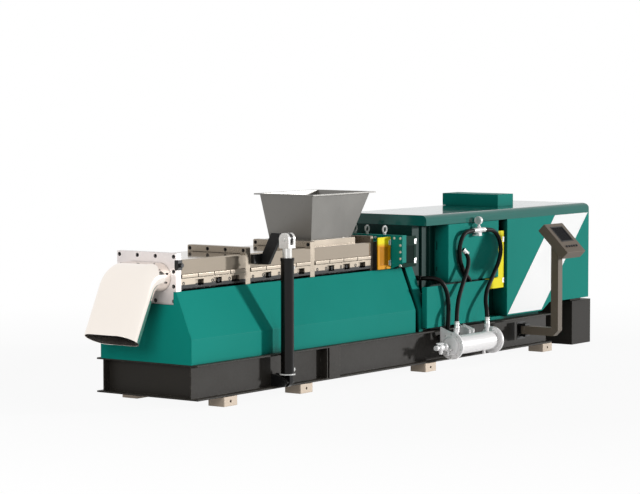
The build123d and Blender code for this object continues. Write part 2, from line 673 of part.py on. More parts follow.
with BuildPart() as gear_housing:
    block(hood_x, bay_end, bay_back, HOOD_HALF, HOOD_BOTTOM, roof_base)
    for x in (hood_x + inset for inset in RIB_INSETS):
        block(x, x + RIB_WIDTH, bay_back - RIB_DEPTH, bay_back, HOOD_BOTTOM, roof_base)
save(gear_housing, "gear_housing")

with BuildPart() as motor_housing:
    with BuildSketch(along(-HOOD_HALF)):
        with BuildLine():
            Polyline((bay_end, HOOD_BOTTOM), (rear_step_start, HOOD_BOTTOM),
                     (rear_step_end, HOOD_BOTTOM + REAR_RISE), (hood_end, HOOD_BOTTOM + REAR_RISE),
                     (hood_end, roof_base), (bay_end, roof_base), close=True)
        make_face()
    extrude(amount=-2 * HOOD_HALF)
save(motor_housing, "motor_housing")

with BuildPart() as hood_roof:
    block(hood_x, hood_end, -HOOD_HALF, HOOD_HALF, roof_base, HOOD_TOP)
    top_edges = hood_roof.edges().group_by(Axis.Z)[-1]
    fillet(top_edges.filter_by(Axis.X) + [top_edges.filter_by(Axis.Y).sort_by(Axis.X)[-1]], HOOD_ROUND)
save(hood_roof, "hood_roof")

with BuildPart() as gearbox:
    gearbox_end = gearbox_x + GEARBOX_LENGTH
    gearbox_face = bay_back - GEARBOX_PROUD
    block(gearbox_x, gearbox_end, gearbox_face, bay_back, GEARBOX_BOTTOM, roof_base - 4)
    chamfer(gearbox.edges().filter_by(Axis.Z).group_by(Axis.Y)[0], 5)
    for z0, z1 in ((1015, 1060), (1240, 1330)):
        block(gearbox_x - 1, gearbox_x + 10, bay_back - 34, bay_back - 34 + LOUVRE_WIDTH, z0, z1,
              mode=Mode.SUBTRACT)
save(gearbox, "gearbox")

with BuildPart() as lower_panel:
    panel_end = cover_panel_x + COVER_PANEL_LENGTH
    sheet = COVER_PANEL_SHEET
    with BuildSketch(level(HOOD_BOTTOM)):
        with BuildLine():
            Polyline((cover_panel_x, COVER_PANEL_Y), (panel_end, COVER_PANEL_Y), (panel_end, -CABINET_HALF - 2),
                     (panel_end - sheet, -CABINET_HALF - 2), (panel_end - sheet, COVER_PANEL_Y + sheet),
                     (cover_panel_x + sheet, COVER_PANEL_Y + sheet), (cover_panel_x + sheet, -CABINET_HALF - 2),
                     (cover_panel_x, -CABINET_HALF - 2), close=True)
        make_face()
    extrude(amount=COVER_PANEL_TOP - HOOD_BOTTOM)
save(lower_panel, "lower_panel")

with BuildPart() as oil_manifold:
    block(hood_x + MANIFOLD_START, hood_x + MANIFOLD_START + MANIFOLD_LENGTH, -575, bay_back - RIB_DEPTH,
          HOOD_BOTTOM, MANIFOLD_TOP)
save(oil_manifold, "oil_manifold")

guard_rear_end = bay_end - 20
with BuildPart() as guard_rear:
    strip_start = gearbox_end + 14
    with BuildSketch(along(GUARD_REAR_Y + GUARD_THICKNESS)):
        with BuildLine():
            Polyline((panel_end + GUARD_REAR_GAP, 770), (guard_rear_end, 770), (guard_rear_end, 1395),
                     (strip_start, 1395), (strip_start, GEARBOX_BOTTOM - 12),
                     (panel_end + GUARD_REAR_GAP, GEARBOX_BOTTOM - 12), close=True)
        make_face()
    extrude(amount=GUARD_THICKNESS)
    for z in (850, 1300):
        round_bar(guard_rear_end + 1, GUARD_REAR_Y + GUARD_THICKNESS / 2, z, HINGE_R, HINGE_LENGTH, "z")
save(guard_rear, "guard_rear")

with BuildPart() as roof_box:
    block(roof_box_x, roof_box_x + ROOF_BOX_LENGTH, ROOF_BOX_NEAR, ROOF_BOX_FAR, HOOD_TOP,
          HOOD_TOP + ROOF_BOX_HEIGHT)
    block(roof_box_x + 10, roof_box_x + ROOF_BOX_LENGTH - 10, ROOF_BOX_NEAR + 10, ROOF_BOX_FAR - 10,
          HOOD_TOP, HOOD_TOP + 8)
save(roof_box, "roof_box")

with BuildPart() as rear_box:
    pedestal_end = pedestal_x + PEDESTAL_LENGTH
    block(pedestal_x, pedestal_end, -PEDESTAL_HALF, PEDESTAL_HALF, 0, PEDESTAL_TOP)
    block(pedestal_x + 25, hood_end - 25, 40 - PEDESTAL_HALF, PEDESTAL_HALF - 40, PEDESTAL_TOP,
          HOOD_BOTTOM + REAR_RISE)
save(rear_box, "rear_box")

# Oil gauge, cooler and hoses
with BuildPart() as oil_gauge:
    round_bar(tee_x, TEE_Y, GAUGE_Z, GAUGE_R, GAUGE_DEPTH, "x")
    fillet(oil_gauge.edges().filter_by(GeomType.CIRCLE), 6)
    round_bar(tee_x, TEE_Y, (TEE_Z + GAUGE_Z) / 2, 12, GAUGE_Z - TEE_Z, "z")
    round_bar(tee_x, TEE_Y, TEE_Z, TEE_R, TEE_LENGTH, "x")
    round_bar(tee_x, TEE_Y, TEE_Z + 34, 20, 24, "z")
    block(tee_x - 28, tee_x + 28, TEE_Y - 20, TEE_Y + 20, TEE_Z - 62, TEE_Z - TEE_R)
    block(tee_x - 28, tee_x + 28, TEE_Y + 20, gearbox_face, TEE_Z - 62, TEE_Z - 50)
save(oil_gauge, "oil_gauge")

cooler_end = cooler_x + COOLER_LENGTH
with BuildPart() as oil_cooler:
    flange, cap = COOLER_FLANGE_THICKNESS, COOLER_CAP_DEPTH
    with BuildSketch(Plane(origin=place(0, COOLER_Y, COOLER_Z), x_dir=(1, 0, 0), z_dir=(0, -1, 0))):
        with BuildLine():
            Polyline((cooler_x, 0), (cooler_x, COOLER_R - 14), (cooler_x + 14, COOLER_R), (cooler_x + cap, COOLER_R),
                     (cooler_x + cap, COOLER_FLANGE_R), (cooler_x + cap + flange, COOLER_FLANGE_R),
                     (cooler_x + cap + flange, COOLER_R), (cooler_end - cap - flange, COOLER_R),
                     (cooler_end - cap - flange, COOLER_FLANGE_R), (cooler_end - cap, COOLER_FLANGE_R),
                     (cooler_end - cap, COOLER_R), (cooler_end - 14, COOLER_R),
                     (cooler_end, COOLER_R - 14), (cooler_end, 0), close=True)
        make_face()
    revolve(axis=Axis(place(0, COOLER_Y, COOLER_Z), (1, 0, 0)))
    for x in port_stations:
        round_bar(x, COOLER_Y, (COOLER_Z + PORT_TOP) / 2, PORT_R - 8, PORT_TOP - COOLER_Z, "z")
        with BuildSketch(Plane(origin=place(x, COOLER_Y, PORT_TOP - 40), z_dir=(0, 0, 1))):
            RegularPolygon(PORT_R + 2, 6)
        extrude(amount=40)
    for x, drop in ((cooler_x + 120, 32), (cooler_end - 210, 26)):
        round_bar(x, COOLER_Y, COOLER_Z - COOLER_R - drop / 2, 18, drop + 30, "z")
    round_bar(cooler_x - 40, COOLER_Y, COOLER_Z - 30, 16, 90, "x")
    round_bar(cooler_x - 62, COOLER_Y, COOLER_Z - 30, 22, 26, "x")
    round_bar(cooler_x - 30, COOLER_Y, COOLER_Z - 62, 15, 74, "z")
    round_bar(cooler_x - 30, COOLER_Y, COOLER_Z - 30, 12, 90, "y")
save(oil_cooler, "oil_cooler")

with BuildPart() as cooler_brackets:
    for x in (cooler_x + 60, cooler_x + 420, cooler_x + 500):
        with BuildSketch(across(x)):
            with BuildLine():
                Polyline((-BEAM_EDGE, BEAM_TOP - FLANGE_THICKNESS), (-BEAM_EDGE, BEAM_TOP + 30),
                         (-BEAM_EDGE - 60, BEAM_TOP + 10), (COOLER_Y + 20, COOLER_Z + COOLER_R + 40),
                         (COOLER_Y + 20, COOLER_Z + COOLER_R), (-BEAM_EDGE - 60, COOLER_Z + 60),
                         (-BEAM_EDGE - 2, COOLER_Z + 40), close=True)
            make_face()
            with Locations((COOLER_Y, COOLER_Z)):
                Circle(COOLER_R, mode=Mode.SUBTRACT)
        extrude(amount=14)
save(cooler_brackets, "cooler_brackets")


def make_hose(points, name):
    """A hose as straight runs joined by arcs as large as the runs allow."""
    stations = [Vector(*place(*p)) for p in points]
    radii = []
    for before, here, after in zip(stations, stations[1:], stations[2:]):
        first, second = here - before, after - here
        half_turn = first.get_angle(second) / 2
        radii.append(0.45 * min(first.length, second.length) / tan(radians(half_turn)))
    print(name, "radii", [round(r) for r in radii])
    with BuildPart() as hose:
        with BuildLine() as route:
            FilletPolyline(*stations, radius=radii)
        with BuildSketch(Plane(origin=stations[0], z_dir=stations[1] - stations[0])):
            Circle(HOSE_D / 2)
        sweep(path=route.line)
    save(hose, name)


tee_left, tee_right = tee_x - TEE_LENGTH / 2, tee_x + TEE_LENGTH / 2
HOSE_ROUTES = {
    "hose_left": [(tee_left, TEE_Y, TEE_Z), (4680, TEE_Y, TEE_Z), (4550, -602, 1418), (4480, -592, 1320),
                      (4478, -582, 1190), (4520, -578, 1070), (4610, -577, 970), (4712, -577, 890),
                      (4712, -577, MANIFOLD_TOP)],
    "hose_loop": [(4545, -585, 1240), (4600, -612, 1185), (4575, -640, 1090), (4500, -655, 985),
                         (4400, -672, 870), (4300, -695, 760), (4205, -735, 660), (4140, COOLER_Y, 560),
                         (4140, COOLER_Y, PORT_TOP)],
    "hose_right": [(tee_right, TEE_Y, TEE_Z), (5000, TEE_Y, TEE_Z), (5140, -606, 1415), (5240, -608, 1325),
                       (5275, -612, 1210), (5225, -620, 1090), (5120, -632, 980), (5000, -650, 880),
                       (4880, -672, 780), (4790, -715, 670), (4740, COOLER_Y, 560), (4740, COOLER_Y, PORT_TOP)],
    "hose_low": [(3965, bay_back, 962), (3965, -455, 962), (3998, -545, 968), (4048, -632, 945),
                 (4110, -656, 850), (4148, -657, 742), (4160, -654, 632), (4160, -651, 520),
                 (4158, -646, 412), (4152, -608, 330), (4152, -BEAM_Y - WEB_THICKNESS / 2, 330)],

}
for name, route in HOSE_ROUTES.items():
    make_hose(route, name)

# Operator station: a square-tube arm on a swivel, carrying the sloping panel
half_arm = ARM_SIZE / 2
run_low, run_high = ARM_RUN_Z - half_arm, ARM_RUN_Z + half_arm
post_out, post_in = POST_Y - half_arm, POST_Y + half_arm
tilt = radians(PANEL_TILT)
panel_foot = (PANEL_TOP_Y - PANEL_LENGTH * cos(tilt), PANEL_TOP_Z - PANEL_LENGTH * sin(tilt))
back_y, back_z = PANEL_DEPTH * sin(tilt), -PANEL_DEPTH * cos(tilt)


def panel_back_z(y):
    """Height of the panel's underside above a y station."""
    return PANEL_TOP_Z + back_z + (y - PANEL_TOP_Y - back_y) * tan(tilt)


with BuildPart() as arm_bracket:
    ear_reach = ARM_PIVOT_Y - 40
    for z in (run_low - 3 - PIVOT_EAR, run_high + 3):
        block(arm_x - 50, arm_x + 50, ear_reach, -BEAM_EDGE, z, z + PIVOT_EAR)
    block(arm_x - 80, arm_x + 80, -BEAM_EDGE - 8, -BEAM_EDGE, run_low - 60, run_high + 45)
    round_bar(arm_x, ARM_PIVOT_Y, ARM_RUN_Z, PIVOT_R, ARM_SIZE + 2 * PIVOT_EAR + 24, "z")
save(arm_bracket, "arm_bracket")

with BuildPart() as panel_arm:
    with BuildSketch(across(arm_x - half_arm)):
        with BuildLine():
            Polyline((ARM_PIVOT_Y - PIVOT_HUB_R + 10, run_low), (ARM_PIVOT_Y - PIVOT_HUB_R + 10, run_high),
                     (post_in - 10, run_high), (post_in, run_high + 10), (post_in, panel_back_z(post_in)),
                     (post_out, panel_back_z(post_out)), (post_out, run_low + 62),
                     (post_out + 62, run_low), close=True)
        make_face()
    extrude(amount=ARM_SIZE)
    round_bar(arm_x, ARM_PIVOT_Y, ARM_RUN_Z, PIVOT_HUB_R, ARM_SIZE, "z")
    round_bar(arm_x, ARM_PIVOT_Y, ARM_RUN_Z, PIVOT_R + PIN_CLEARANCE, ARM_SIZE + 2, "z", mode=Mode.SUBTRACT)
save(panel_arm, "panel_arm")

panel_face = Plane(origin=place(arm_x, (PANEL_TOP_Y + panel_foot[0]) / 2, (PANEL_TOP_Z + panel_foot[1]) / 2),
                   x_dir=(1, 0, 0), z_dir=(0, -sin(tilt), cos(tilt)))
with BuildPart() as operator_panel:
    with BuildSketch(panel_face):
        Rectangle(PANEL_WIDTH, PANEL_LENGTH)
    extrude(amount=-PANEL_DEPTH)
    chamfer(operator_panel.edges(), PANEL_CHAMFER)
    with BuildSketch(panel_face):
        with Locations((0, 55)):
            Rectangle(240, 200)
    extrude(amount=-4, mode=Mode.SUBTRACT)
    with BuildSketch(panel_face):
        for k in range(5):
            with Locations((-110 + 52 * k, -125)):
                Circle(11)
    extrude(amount=9)
save(operator_panel, "operator_panel")
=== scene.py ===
"""Finishes, fastenings, hoses and studio for a twin-screw plastic extruder.

Lengths are metres in the part's frame.  at() turns a station of the machine's
layout, in millimetres, into that frame.
"""
from math import cos, pi, radians, sin

import bpy
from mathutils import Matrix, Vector


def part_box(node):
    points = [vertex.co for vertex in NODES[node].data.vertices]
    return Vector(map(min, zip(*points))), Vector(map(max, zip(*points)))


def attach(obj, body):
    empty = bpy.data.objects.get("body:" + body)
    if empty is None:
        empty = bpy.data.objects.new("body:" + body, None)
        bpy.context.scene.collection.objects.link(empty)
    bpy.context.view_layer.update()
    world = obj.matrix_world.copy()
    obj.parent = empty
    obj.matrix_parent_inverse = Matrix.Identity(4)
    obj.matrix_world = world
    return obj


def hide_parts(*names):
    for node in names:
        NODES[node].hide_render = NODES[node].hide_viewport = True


bl_info = {
    "name": "Plastic Extruder",
    "version": (1, 0, 0),
    "blender": (4, 5, 0),
    "location": "View3D > Sidebar > Extruder",
    "description": "Dresses a twin-screw plastic extruder with finishes, fastenings and hoses",
    "category": "Object",
}

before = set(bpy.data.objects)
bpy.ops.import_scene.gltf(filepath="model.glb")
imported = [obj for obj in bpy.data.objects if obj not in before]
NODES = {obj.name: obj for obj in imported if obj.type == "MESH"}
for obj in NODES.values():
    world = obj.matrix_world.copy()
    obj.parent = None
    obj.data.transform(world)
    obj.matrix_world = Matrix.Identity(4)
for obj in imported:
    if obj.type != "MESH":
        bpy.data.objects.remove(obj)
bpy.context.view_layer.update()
MATERIALS = {}

# The middle of the machine's plan, as a station of the layout in millimetres
MIDDLE_X = 3403.425
MIDDLE_Y = -346.932

# Shades that stay the same whatever colours a user picks, among them the white of painted highlights and the
# black of painted shade
# White of the ram's ring, and of the painted highlights on the ram's lit side and on the flange's top edge
WHITE_RING_AND_HIGHLIGHT = (0.8, 0.8, 0.78)
SCREW_AND_HOLE_SHADE_BLACK = (0.012, 0.012, 0.013)
FOOT_SHADE_BLACK = (0.012, 0.012, 0.012)
PAINTED_SHADE_BLACK = (0.008, 0.008, 0.008)


def at(x, y, z):
    """A station of the machine's layout, in millimetres, as a point of the part's frame."""
    return Vector(((x - MIDDLE_X) / 1000, (y - MIDDLE_Y) / 1000, z / 1000))


def linear(red, green, blue):
    """A screen colour of 0 to 255 as the colour that a shader takes."""
    return tuple((c / 255 / 12.92) if c < 11 else ((c / 255 + 0.055) / 1.055) ** 2.4
                 for c in (red, green, blue))


# Sizes and colours

class ExtruderColours(bpy.types.PropertyGroup):
    teal: bpy.props.FloatVectorProperty(
        name="Housing paint", description="Gloss paint of the hood, cabinet and lantern",
        default=linear(16, 137, 125), subtype="COLOR", min=0, max=1)
    base: bpy.props.FloatVectorProperty(
        name="Base paint", description="Dark paint of the beams and the rear pedestal",
        default=linear(43, 40, 36), subtype="COLOR", min=0, max=1)
    barrel: bpy.props.FloatVectorProperty(
        name="Barrel steel", description="Machined steel of the barrel and its plates",
        default=linear(186, 173, 156), subtype="COLOR", min=0, max=1)
    bright: bpy.props.FloatVectorProperty(
        name="Bright steel", description="Bright steel of the ram's clevis and the screws",
        default=linear(226, 224, 220), subtype="COLOR", min=0, max=1)
    hopper: bpy.props.FloatVectorProperty(
        name="Hopper sheet", description="Rolled sheet of the feed hopper",
        default=linear(128, 126, 122), subtype="COLOR", min=0, max=1)
    black: bpy.props.FloatVectorProperty(
        name="Black enamel", description="Enamel of the rail, the brackets and the oil manifold",
        default=linear(10, 10, 11), subtype="COLOR", min=0, max=1)
    guard: bpy.props.FloatVectorProperty(
        name="Guard yellow", description="Yellow of the front and rear guard doors",
        default=linear(255, 240, 12), subtype="COLOR", min=0, max=1)
    amber: bpy.props.FloatVectorProperty(
        name="Guard amber", description="Lower, deeper colour of the front guard door",
        default=linear(232, 158, 0), subtype="COLOR", min=0, max=1)
    rubber: bpy.props.FloatVectorProperty(
        name="Hose rubber", description="Cover of the oil hoses",
        default=linear(8, 7, 6), subtype="COLOR", min=0, max=1)
    console: bpy.props.FloatVectorProperty(
        name="Console enamel", description="Operator panel and its arm",
        default=linear(110, 99, 87), subtype="COLOR", min=0, max=1)


class ExtruderSizes(bpy.types.PropertyGroup):
    screw_width: bpy.props.FloatProperty(
        name="Barrel screw", description="Width across the head of a barrel screw",
        default=0.034, min=0.01, unit="LENGTH")
    flange_bolt: bpy.props.FloatProperty(
        name="Flange bolt", description="Width across a bolt head of the lantern flange",
        default=0.03, min=0.01, unit="LENGTH")
    cooler_bolt: bpy.props.FloatProperty(
        name="Cooler bolt", description="Width across a bolt head of the oil cooler",
        default=0.022, min=0.01, unit="LENGTH")
    hose: bpy.props.FloatProperty(
        name="Hose diameter", description="Outside diameter of the oil hoses",
        default=0.046, min=0.01, unit="LENGTH")
    ferrule: bpy.props.FloatProperty(
        name="Ferrule length", description="Length of the crimped sleeve at a hose's end",
        default=0.075, min=0.02, unit="LENGTH")
    stripe: bpy.props.FloatProperty(
        name="Stripe thickness", description="Thickness of the film of the white stripe",
        default=0.0008, min=0.0002, unit="LENGTH")


class ExtruderStage(bpy.types.PropertyGroup):
    floor: bpy.props.FloatVectorProperty(
        name="Floor", description="Colour of the pale floor",
        default=(0.9, 0.9, 0.9), subtype="COLOR", min=0, max=1)
    key: bpy.props.FloatProperty(
        name="Key light", description="Strength of the key light", default=2.7, min=0)
    fill: bpy.props.FloatProperty(
        name="Fill", description="Strength of the even light from all round", default=0.16, min=0)


# Node groups shared by the finishes

def shader_group(name, inputs, outputs):
    """An empty shader node group with named sockets, and its two end nodes."""
    group = bpy.data.node_groups.new(name, "ShaderNodeTree")
    for socket, kind, value in inputs:
        made = group.interface.new_socket(name=socket, in_out="INPUT", socket_type=kind)
        if value is not None:
            made.default_value = value
    for socket, kind in outputs:
        group.interface.new_socket(name=socket, in_out="OUTPUT", socket_type=kind)
    return group, group.nodes.new("NodeGroupInput"), group.nodes.new("NodeGroupOutput")


def add_node(tree, kind, inputs=None, **settings):
    """A node with its settings, and values or links for its inputs."""
    node = tree.nodes.new(kind)
    for key, value in settings.items():
        setattr(node, key, value)
    for key, value in (inputs or {}).items():
        if isinstance(value, bpy.types.NodeSocket):
            tree.links.new(value, node.inputs[key])
        else:
            node.inputs[key].default_value = value
    return node


def build_edge_group():
    """The normals of a rounded edge, and a mask of the chips along it."""
    group, given, result = shader_group(
        "Rounded Edges",
        [("Radius", "NodeSocketFloat", 0.004), ("Scale", "NodeSocketFloat", 30.0),
         ("Wear", "NodeSocketFloat", 0.5)],
        [("Normal", "NodeSocketVector"), ("Mask", "NodeSocketFloat")])
    bevel = add_node(group, "ShaderNodeBevel", {"Radius": given.outputs["Radius"]}, samples=4)
    flat = add_node(group, "ShaderNodeNewGeometry")
    facing = add_node(group, "ShaderNodeVectorMath", {0: bevel.outputs[0], 1: flat.outputs["Normal"]},
                      operation="DOT_PRODUCT")
    edge = add_node(group, "ShaderNodeMapRange", {"Value": facing.outputs["Value"], "From Min": 0.985,
                                                  "From Max": 0.8, "To Min": 0.0, "To Max": 1.0})
    place = add_node(group, "ShaderNodeTexCoord")
    chips = add_node(group, "ShaderNodeTexNoise", {"Vector": place.outputs["Object"],
                                                   "Scale": given.outputs["Scale"], "Detail": 5.0})
    torn = add_node(group, "ShaderNodeMapRange", {"Value": chips.outputs["Fac"], "From Min": 0.48,
                                                  "From Max": 0.62})
    worn = add_node(group, "ShaderNodeMath", {0: edge.outputs["Result"], 1: torn.outputs["Result"]},
                    operation="MULTIPLY")
    share = add_node(group, "ShaderNodeMath", {0: worn.outputs[0], 1: given.outputs["Wear"]},
                     operation="MULTIPLY", use_clamp=True)
    group.links.new(bevel.outputs[0], result.inputs["Normal"])
    group.links.new(share.outputs[0], result.inputs["Mask"])


def build_dust_group():
    """A mask of the dust on what faces upwards."""
    group, given, result = shader_group(
        "Settled Dust",
        [("Amount", "NodeSocketFloat", 0.2), ("Scale", "NodeSocketFloat", 3.0)],
        [("Mask", "NodeSocketFloat")])
    place = add_node(group, "ShaderNodeTexCoord")
    flat = add_node(group, "ShaderNodeNewGeometry")
    split = add_node(group, "ShaderNodeSeparateXYZ", {0: flat.outputs["Normal"]})
    level = add_node(group, "ShaderNodeMapRange", {"Value": split.outputs["Z"], "From Min": 0.1,
                                                   "From Max": 0.95})
    cloud = add_node(group, "ShaderNodeTexNoise", {"Vector": place.outputs["Object"],
                                                   "Scale": given.outputs["Scale"], "Detail": 6.0,
                                                   "Roughness": 0.62})
    patch = add_node(group, "ShaderNodeMapRange", {"Value": cloud.outputs["Fac"], "From Min": 0.35,
                                                   "From Max": 0.7})
    both = add_node(group, "ShaderNodeMath", {0: level.outputs["Result"], 1: patch.outputs["Result"]},
                    operation="MULTIPLY")
    share = add_node(group, "ShaderNodeMath", {0: both.outputs[0], 1: given.outputs["Amount"]},
                     operation="MULTIPLY", use_clamp=True)
    group.links.new(share.outputs[0], result.inputs["Mask"])


def build_recess_shade_group():
    """A mask of painted shade in the bores, slots and gaps, strongest where the walls round a place would
    keep light out.
    """
    group, given, result = shader_group(
        "Painted Recess Shade",
        [("Depth", "NodeSocketFloat", 0.1)],
        [("Mask", "NodeSocketFloat")])
    open_share = add_node(group, "ShaderNodeAmbientOcclusion", {"Distance": given.outputs["Depth"]},
                          samples=8)
    deep = add_node(group, "ShaderNodeMapRange", {"Value": open_share.outputs["AO"], "From Min": 0.62,
                                                  "From Max": 0.22})
    group.links.new(deep.outputs["Result"], result.inputs["Mask"])


def build_grain_group():
    """The roughness and height of a grain, and a broad drift of tone."""
    group, given, result = shader_group(
        "Surface Grain",
        [("Along", "NodeSocketVector", (1.0, 1.0, 1.0)), ("Scale", "NodeSocketFloat", 60.0),
         ("Low", "NodeSocketFloat", 0.3), ("High", "NodeSocketFloat", 0.5)],
        [("Roughness", "NodeSocketFloat"), ("Height", "NodeSocketFloat"), ("Tone", "NodeSocketFloat")])
    place = add_node(group, "ShaderNodeTexCoord")
    stretch = add_node(group, "ShaderNodeVectorMath", {0: place.outputs["Object"], 1: given.outputs["Along"]},
                       operation="MULTIPLY")
    fine = add_node(group, "ShaderNodeTexNoise", {"Vector": stretch.outputs["Vector"],
                                                  "Scale": given.outputs["Scale"], "Detail": 6.0,
                                                  "Roughness": 0.6})
    broad = add_node(group, "ShaderNodeTexNoise", {"Vector": place.outputs["Object"], "Scale": 1.7,
                                                   "Detail": 3.0})
    mean = add_node(group, "ShaderNodeMath", {0: fine.outputs["Fac"], 1: broad.outputs["Fac"]},
                    operation="ADD")
    rough = add_node(group, "ShaderNodeMapRange", {"Value": mean.outputs[0], "From Min": 0.6,
                                                   "From Max": 1.4, "To Min": given.outputs["Low"],
                                                   "To Max": given.outputs["High"]})
    group.links.new(rough.outputs["Result"], result.inputs["Roughness"])
    group.links.new(fine.outputs["Fac"], result.inputs["Height"])
    group.links.new(broad.outputs["Fac"], result.inputs["Tone"])


def build_band_group():
    """A mask that turns on across one level of one axis, for a piece with two finishes or with a band of
    painted highlight or painted shade.
    """
    group, given, result = shader_group(
        "Past Level",
        [("Axis", "NodeSocketVector", (0.0, 0.0, 1.0)), ("Start", "NodeSocketFloat", 0.0),
         ("End", "NodeSocketFloat", 0.01)],
        [("Mask", "NodeSocketFloat")])
    place = add_node(group, "ShaderNodeTexCoord")
    reach = add_node(group, "ShaderNodeVectorMath", {0: place.outputs["Object"], 1: given.outputs["Axis"]},
                     operation="DOT_PRODUCT")
    step = add_node(group, "ShaderNodeMapRange", {"Value": reach.outputs["Value"],
                                                  "From Min": given.outputs["Start"],
                                                  "From Max": given.outputs["End"]})
    group.links.new(step.outputs["Result"], result.inputs["Mask"])


# Finishes

def use_group(tree, name, **values):
    """One of the shared groups placed in a finish with its own values."""
    node = tree.nodes.new("ShaderNodeGroup")
    node.node_tree = bpy.data.node_groups[name]
    for key, value in values.items():
        node.inputs[key.capitalize()].default_value = value
    return node


def blend_colour(tree, share, first, second):
    """A colour that goes from first to second by a mask."""
    mix = tree.nodes.new("ShaderNodeMix")
    mix.data_type = "RGBA"
    if isinstance(share, bpy.types.NodeSocket):
        tree.links.new(share, mix.inputs["Factor"])
    else:
        mix.inputs["Factor"].default_value = share
    for socket, value in ((mix.inputs[6], first), (mix.inputs[7], second)):
        if isinstance(value, bpy.types.NodeSocket):
            tree.links.new(value, socket)
        else:
            socket.default_value = (*value[:3], 1.0)
    return mix.outputs[2]


def times(colour, share):
    """A colour with each of its parts multiplied by a share."""
    return tuple(c * share for c in colour)


def finish(name, colour, low=0.3, high=0.45, metallic=0.0, grain=60.0, along=(1, 1, 1), bump=0.05,
           wear=0.0, worn=(0.3, 0.29, 0.27), dust=0.0, dusty=(0.42, 0.39, 0.35), coat=0.0, edge=0.004,
           shift=0.1, levels=(), specular=0.4, recess=0.0):
    """A finish with grain, rounded and worn edges and dust.

    Each of the levels is an axis, a start, an end and the colour past it, which on some pieces is painted
    highlight or painted shade.  Without levels the colour drifts by a shift either way.  A recess is the
    distance within which walls round a place darken it with painted shade.
    """
    made = bpy.data.materials.new(name)
    made.use_nodes = True
    tree = made.node_tree
    shader = tree.nodes["Principled BSDF"]
    texture = use_group(tree, "Surface Grain", scale=grain, low=low, high=high, along=along)
    edges = use_group(tree, "Rounded Edges", radius=edge, wear=wear)
    base = colour
    for axis, start, end, shade in levels:
        band = use_group(tree, "Past Level", axis=axis, start=start, end=end)
        base = blend_colour(tree, band.outputs["Mask"], base, shade)
    if not levels:
        base = blend_colour(tree, texture.outputs["Tone"], times(colour, 1 - shift), times(colour, 1 + shift))
    if wear:
        base = blend_colour(tree, edges.outputs["Mask"], base, worn)
    if dust:
        settled = use_group(tree, "Settled Dust", amount=dust)
        base = blend_colour(tree, settled.outputs["Mask"], base, dusty)
    # Painted shade: black laid into places that nearby walls would keep from the light
    if recess:
        depth = use_group(tree, "Painted Recess Shade", depth=recess)
        base = blend_colour(tree, depth.outputs["Mask"], base, PAINTED_SHADE_BLACK)
    tree.links.new(base, shader.inputs["Base Color"])
    tree.links.new(texture.outputs["Roughness"], shader.inputs["Roughness"])
    relief = add_node(tree, "ShaderNodeBump", {"Strength": bump, "Distance": 0.002,
                                               "Height": texture.outputs["Height"],
                                               "Normal": edges.outputs["Normal"]})
    tree.links.new(relief.outputs["Normal"], shader.inputs["Normal"])
    shader.inputs["Metallic"].default_value = metallic
    shader.inputs["Coat Weight"].default_value = coat
    shader.inputs["Coat Roughness"].default_value = 0.12
    shader.inputs["Specular IOR Level"].default_value = specular
    MATERIALS[name] = made


def housing_paints(tone):
    """Paints of the housings, the base and the rear pedestal."""
    teal = tuple(tone.teal)
    base = tuple(tone.base)
    # Above this height the lantern flange's top edge takes a painted highlight in white
    highlight_from = 1.4425
    # The housing paint's recess paints shade into the bay and along its joints
    finish("Housing paint", teal, 0.34, 0.46, grain=55, bump=0.04, wear=0.2, worn=(0.02, 0.16, 0.14),
           edge=0.006, shift=0.05, specular=0.03, recess=0.3)
    # Teal deepened to near black: painted shade of the open bay, laid on the whole gear housing
    finish("Bay painted shade", times(teal, 0.12), 0.34, 0.46, grain=55, bump=0.04, edge=0.006, shift=0.06,
           specular=0.15)
    finish("Roof paint", times(teal, 0.6), 0.06, 0.12, grain=55, bump=0.015, dust=0.08,
           dusty=(0.35, 0.5, 0.46), coat=0.2, shift=0.06, specular=0.2)
    finish("Flange paint", teal, 0.34, 0.46, grain=55, edge=0.005, specular=0.06,
           levels=[((0, 0, 1), highlight_from, highlight_from + 0.001, WHITE_RING_AND_HIGHLIGHT)])
    finish("Base paint", base, 0.42, 0.62, grain=40, bump=0.12, wear=0.7, worn=(0.3, 0.27, 0.23),
           dust=0.25, dusty=(0.2, 0.18, 0.15), edge=0.005, shift=0.16, specular=0.15)
    finish("Pedestal paint", base, 0.45, 0.6, grain=40, bump=0.1, wear=0.5, worn=(0.22, 0.2, 0.18),
           dust=0.15, edge=0.005, specular=0.1)


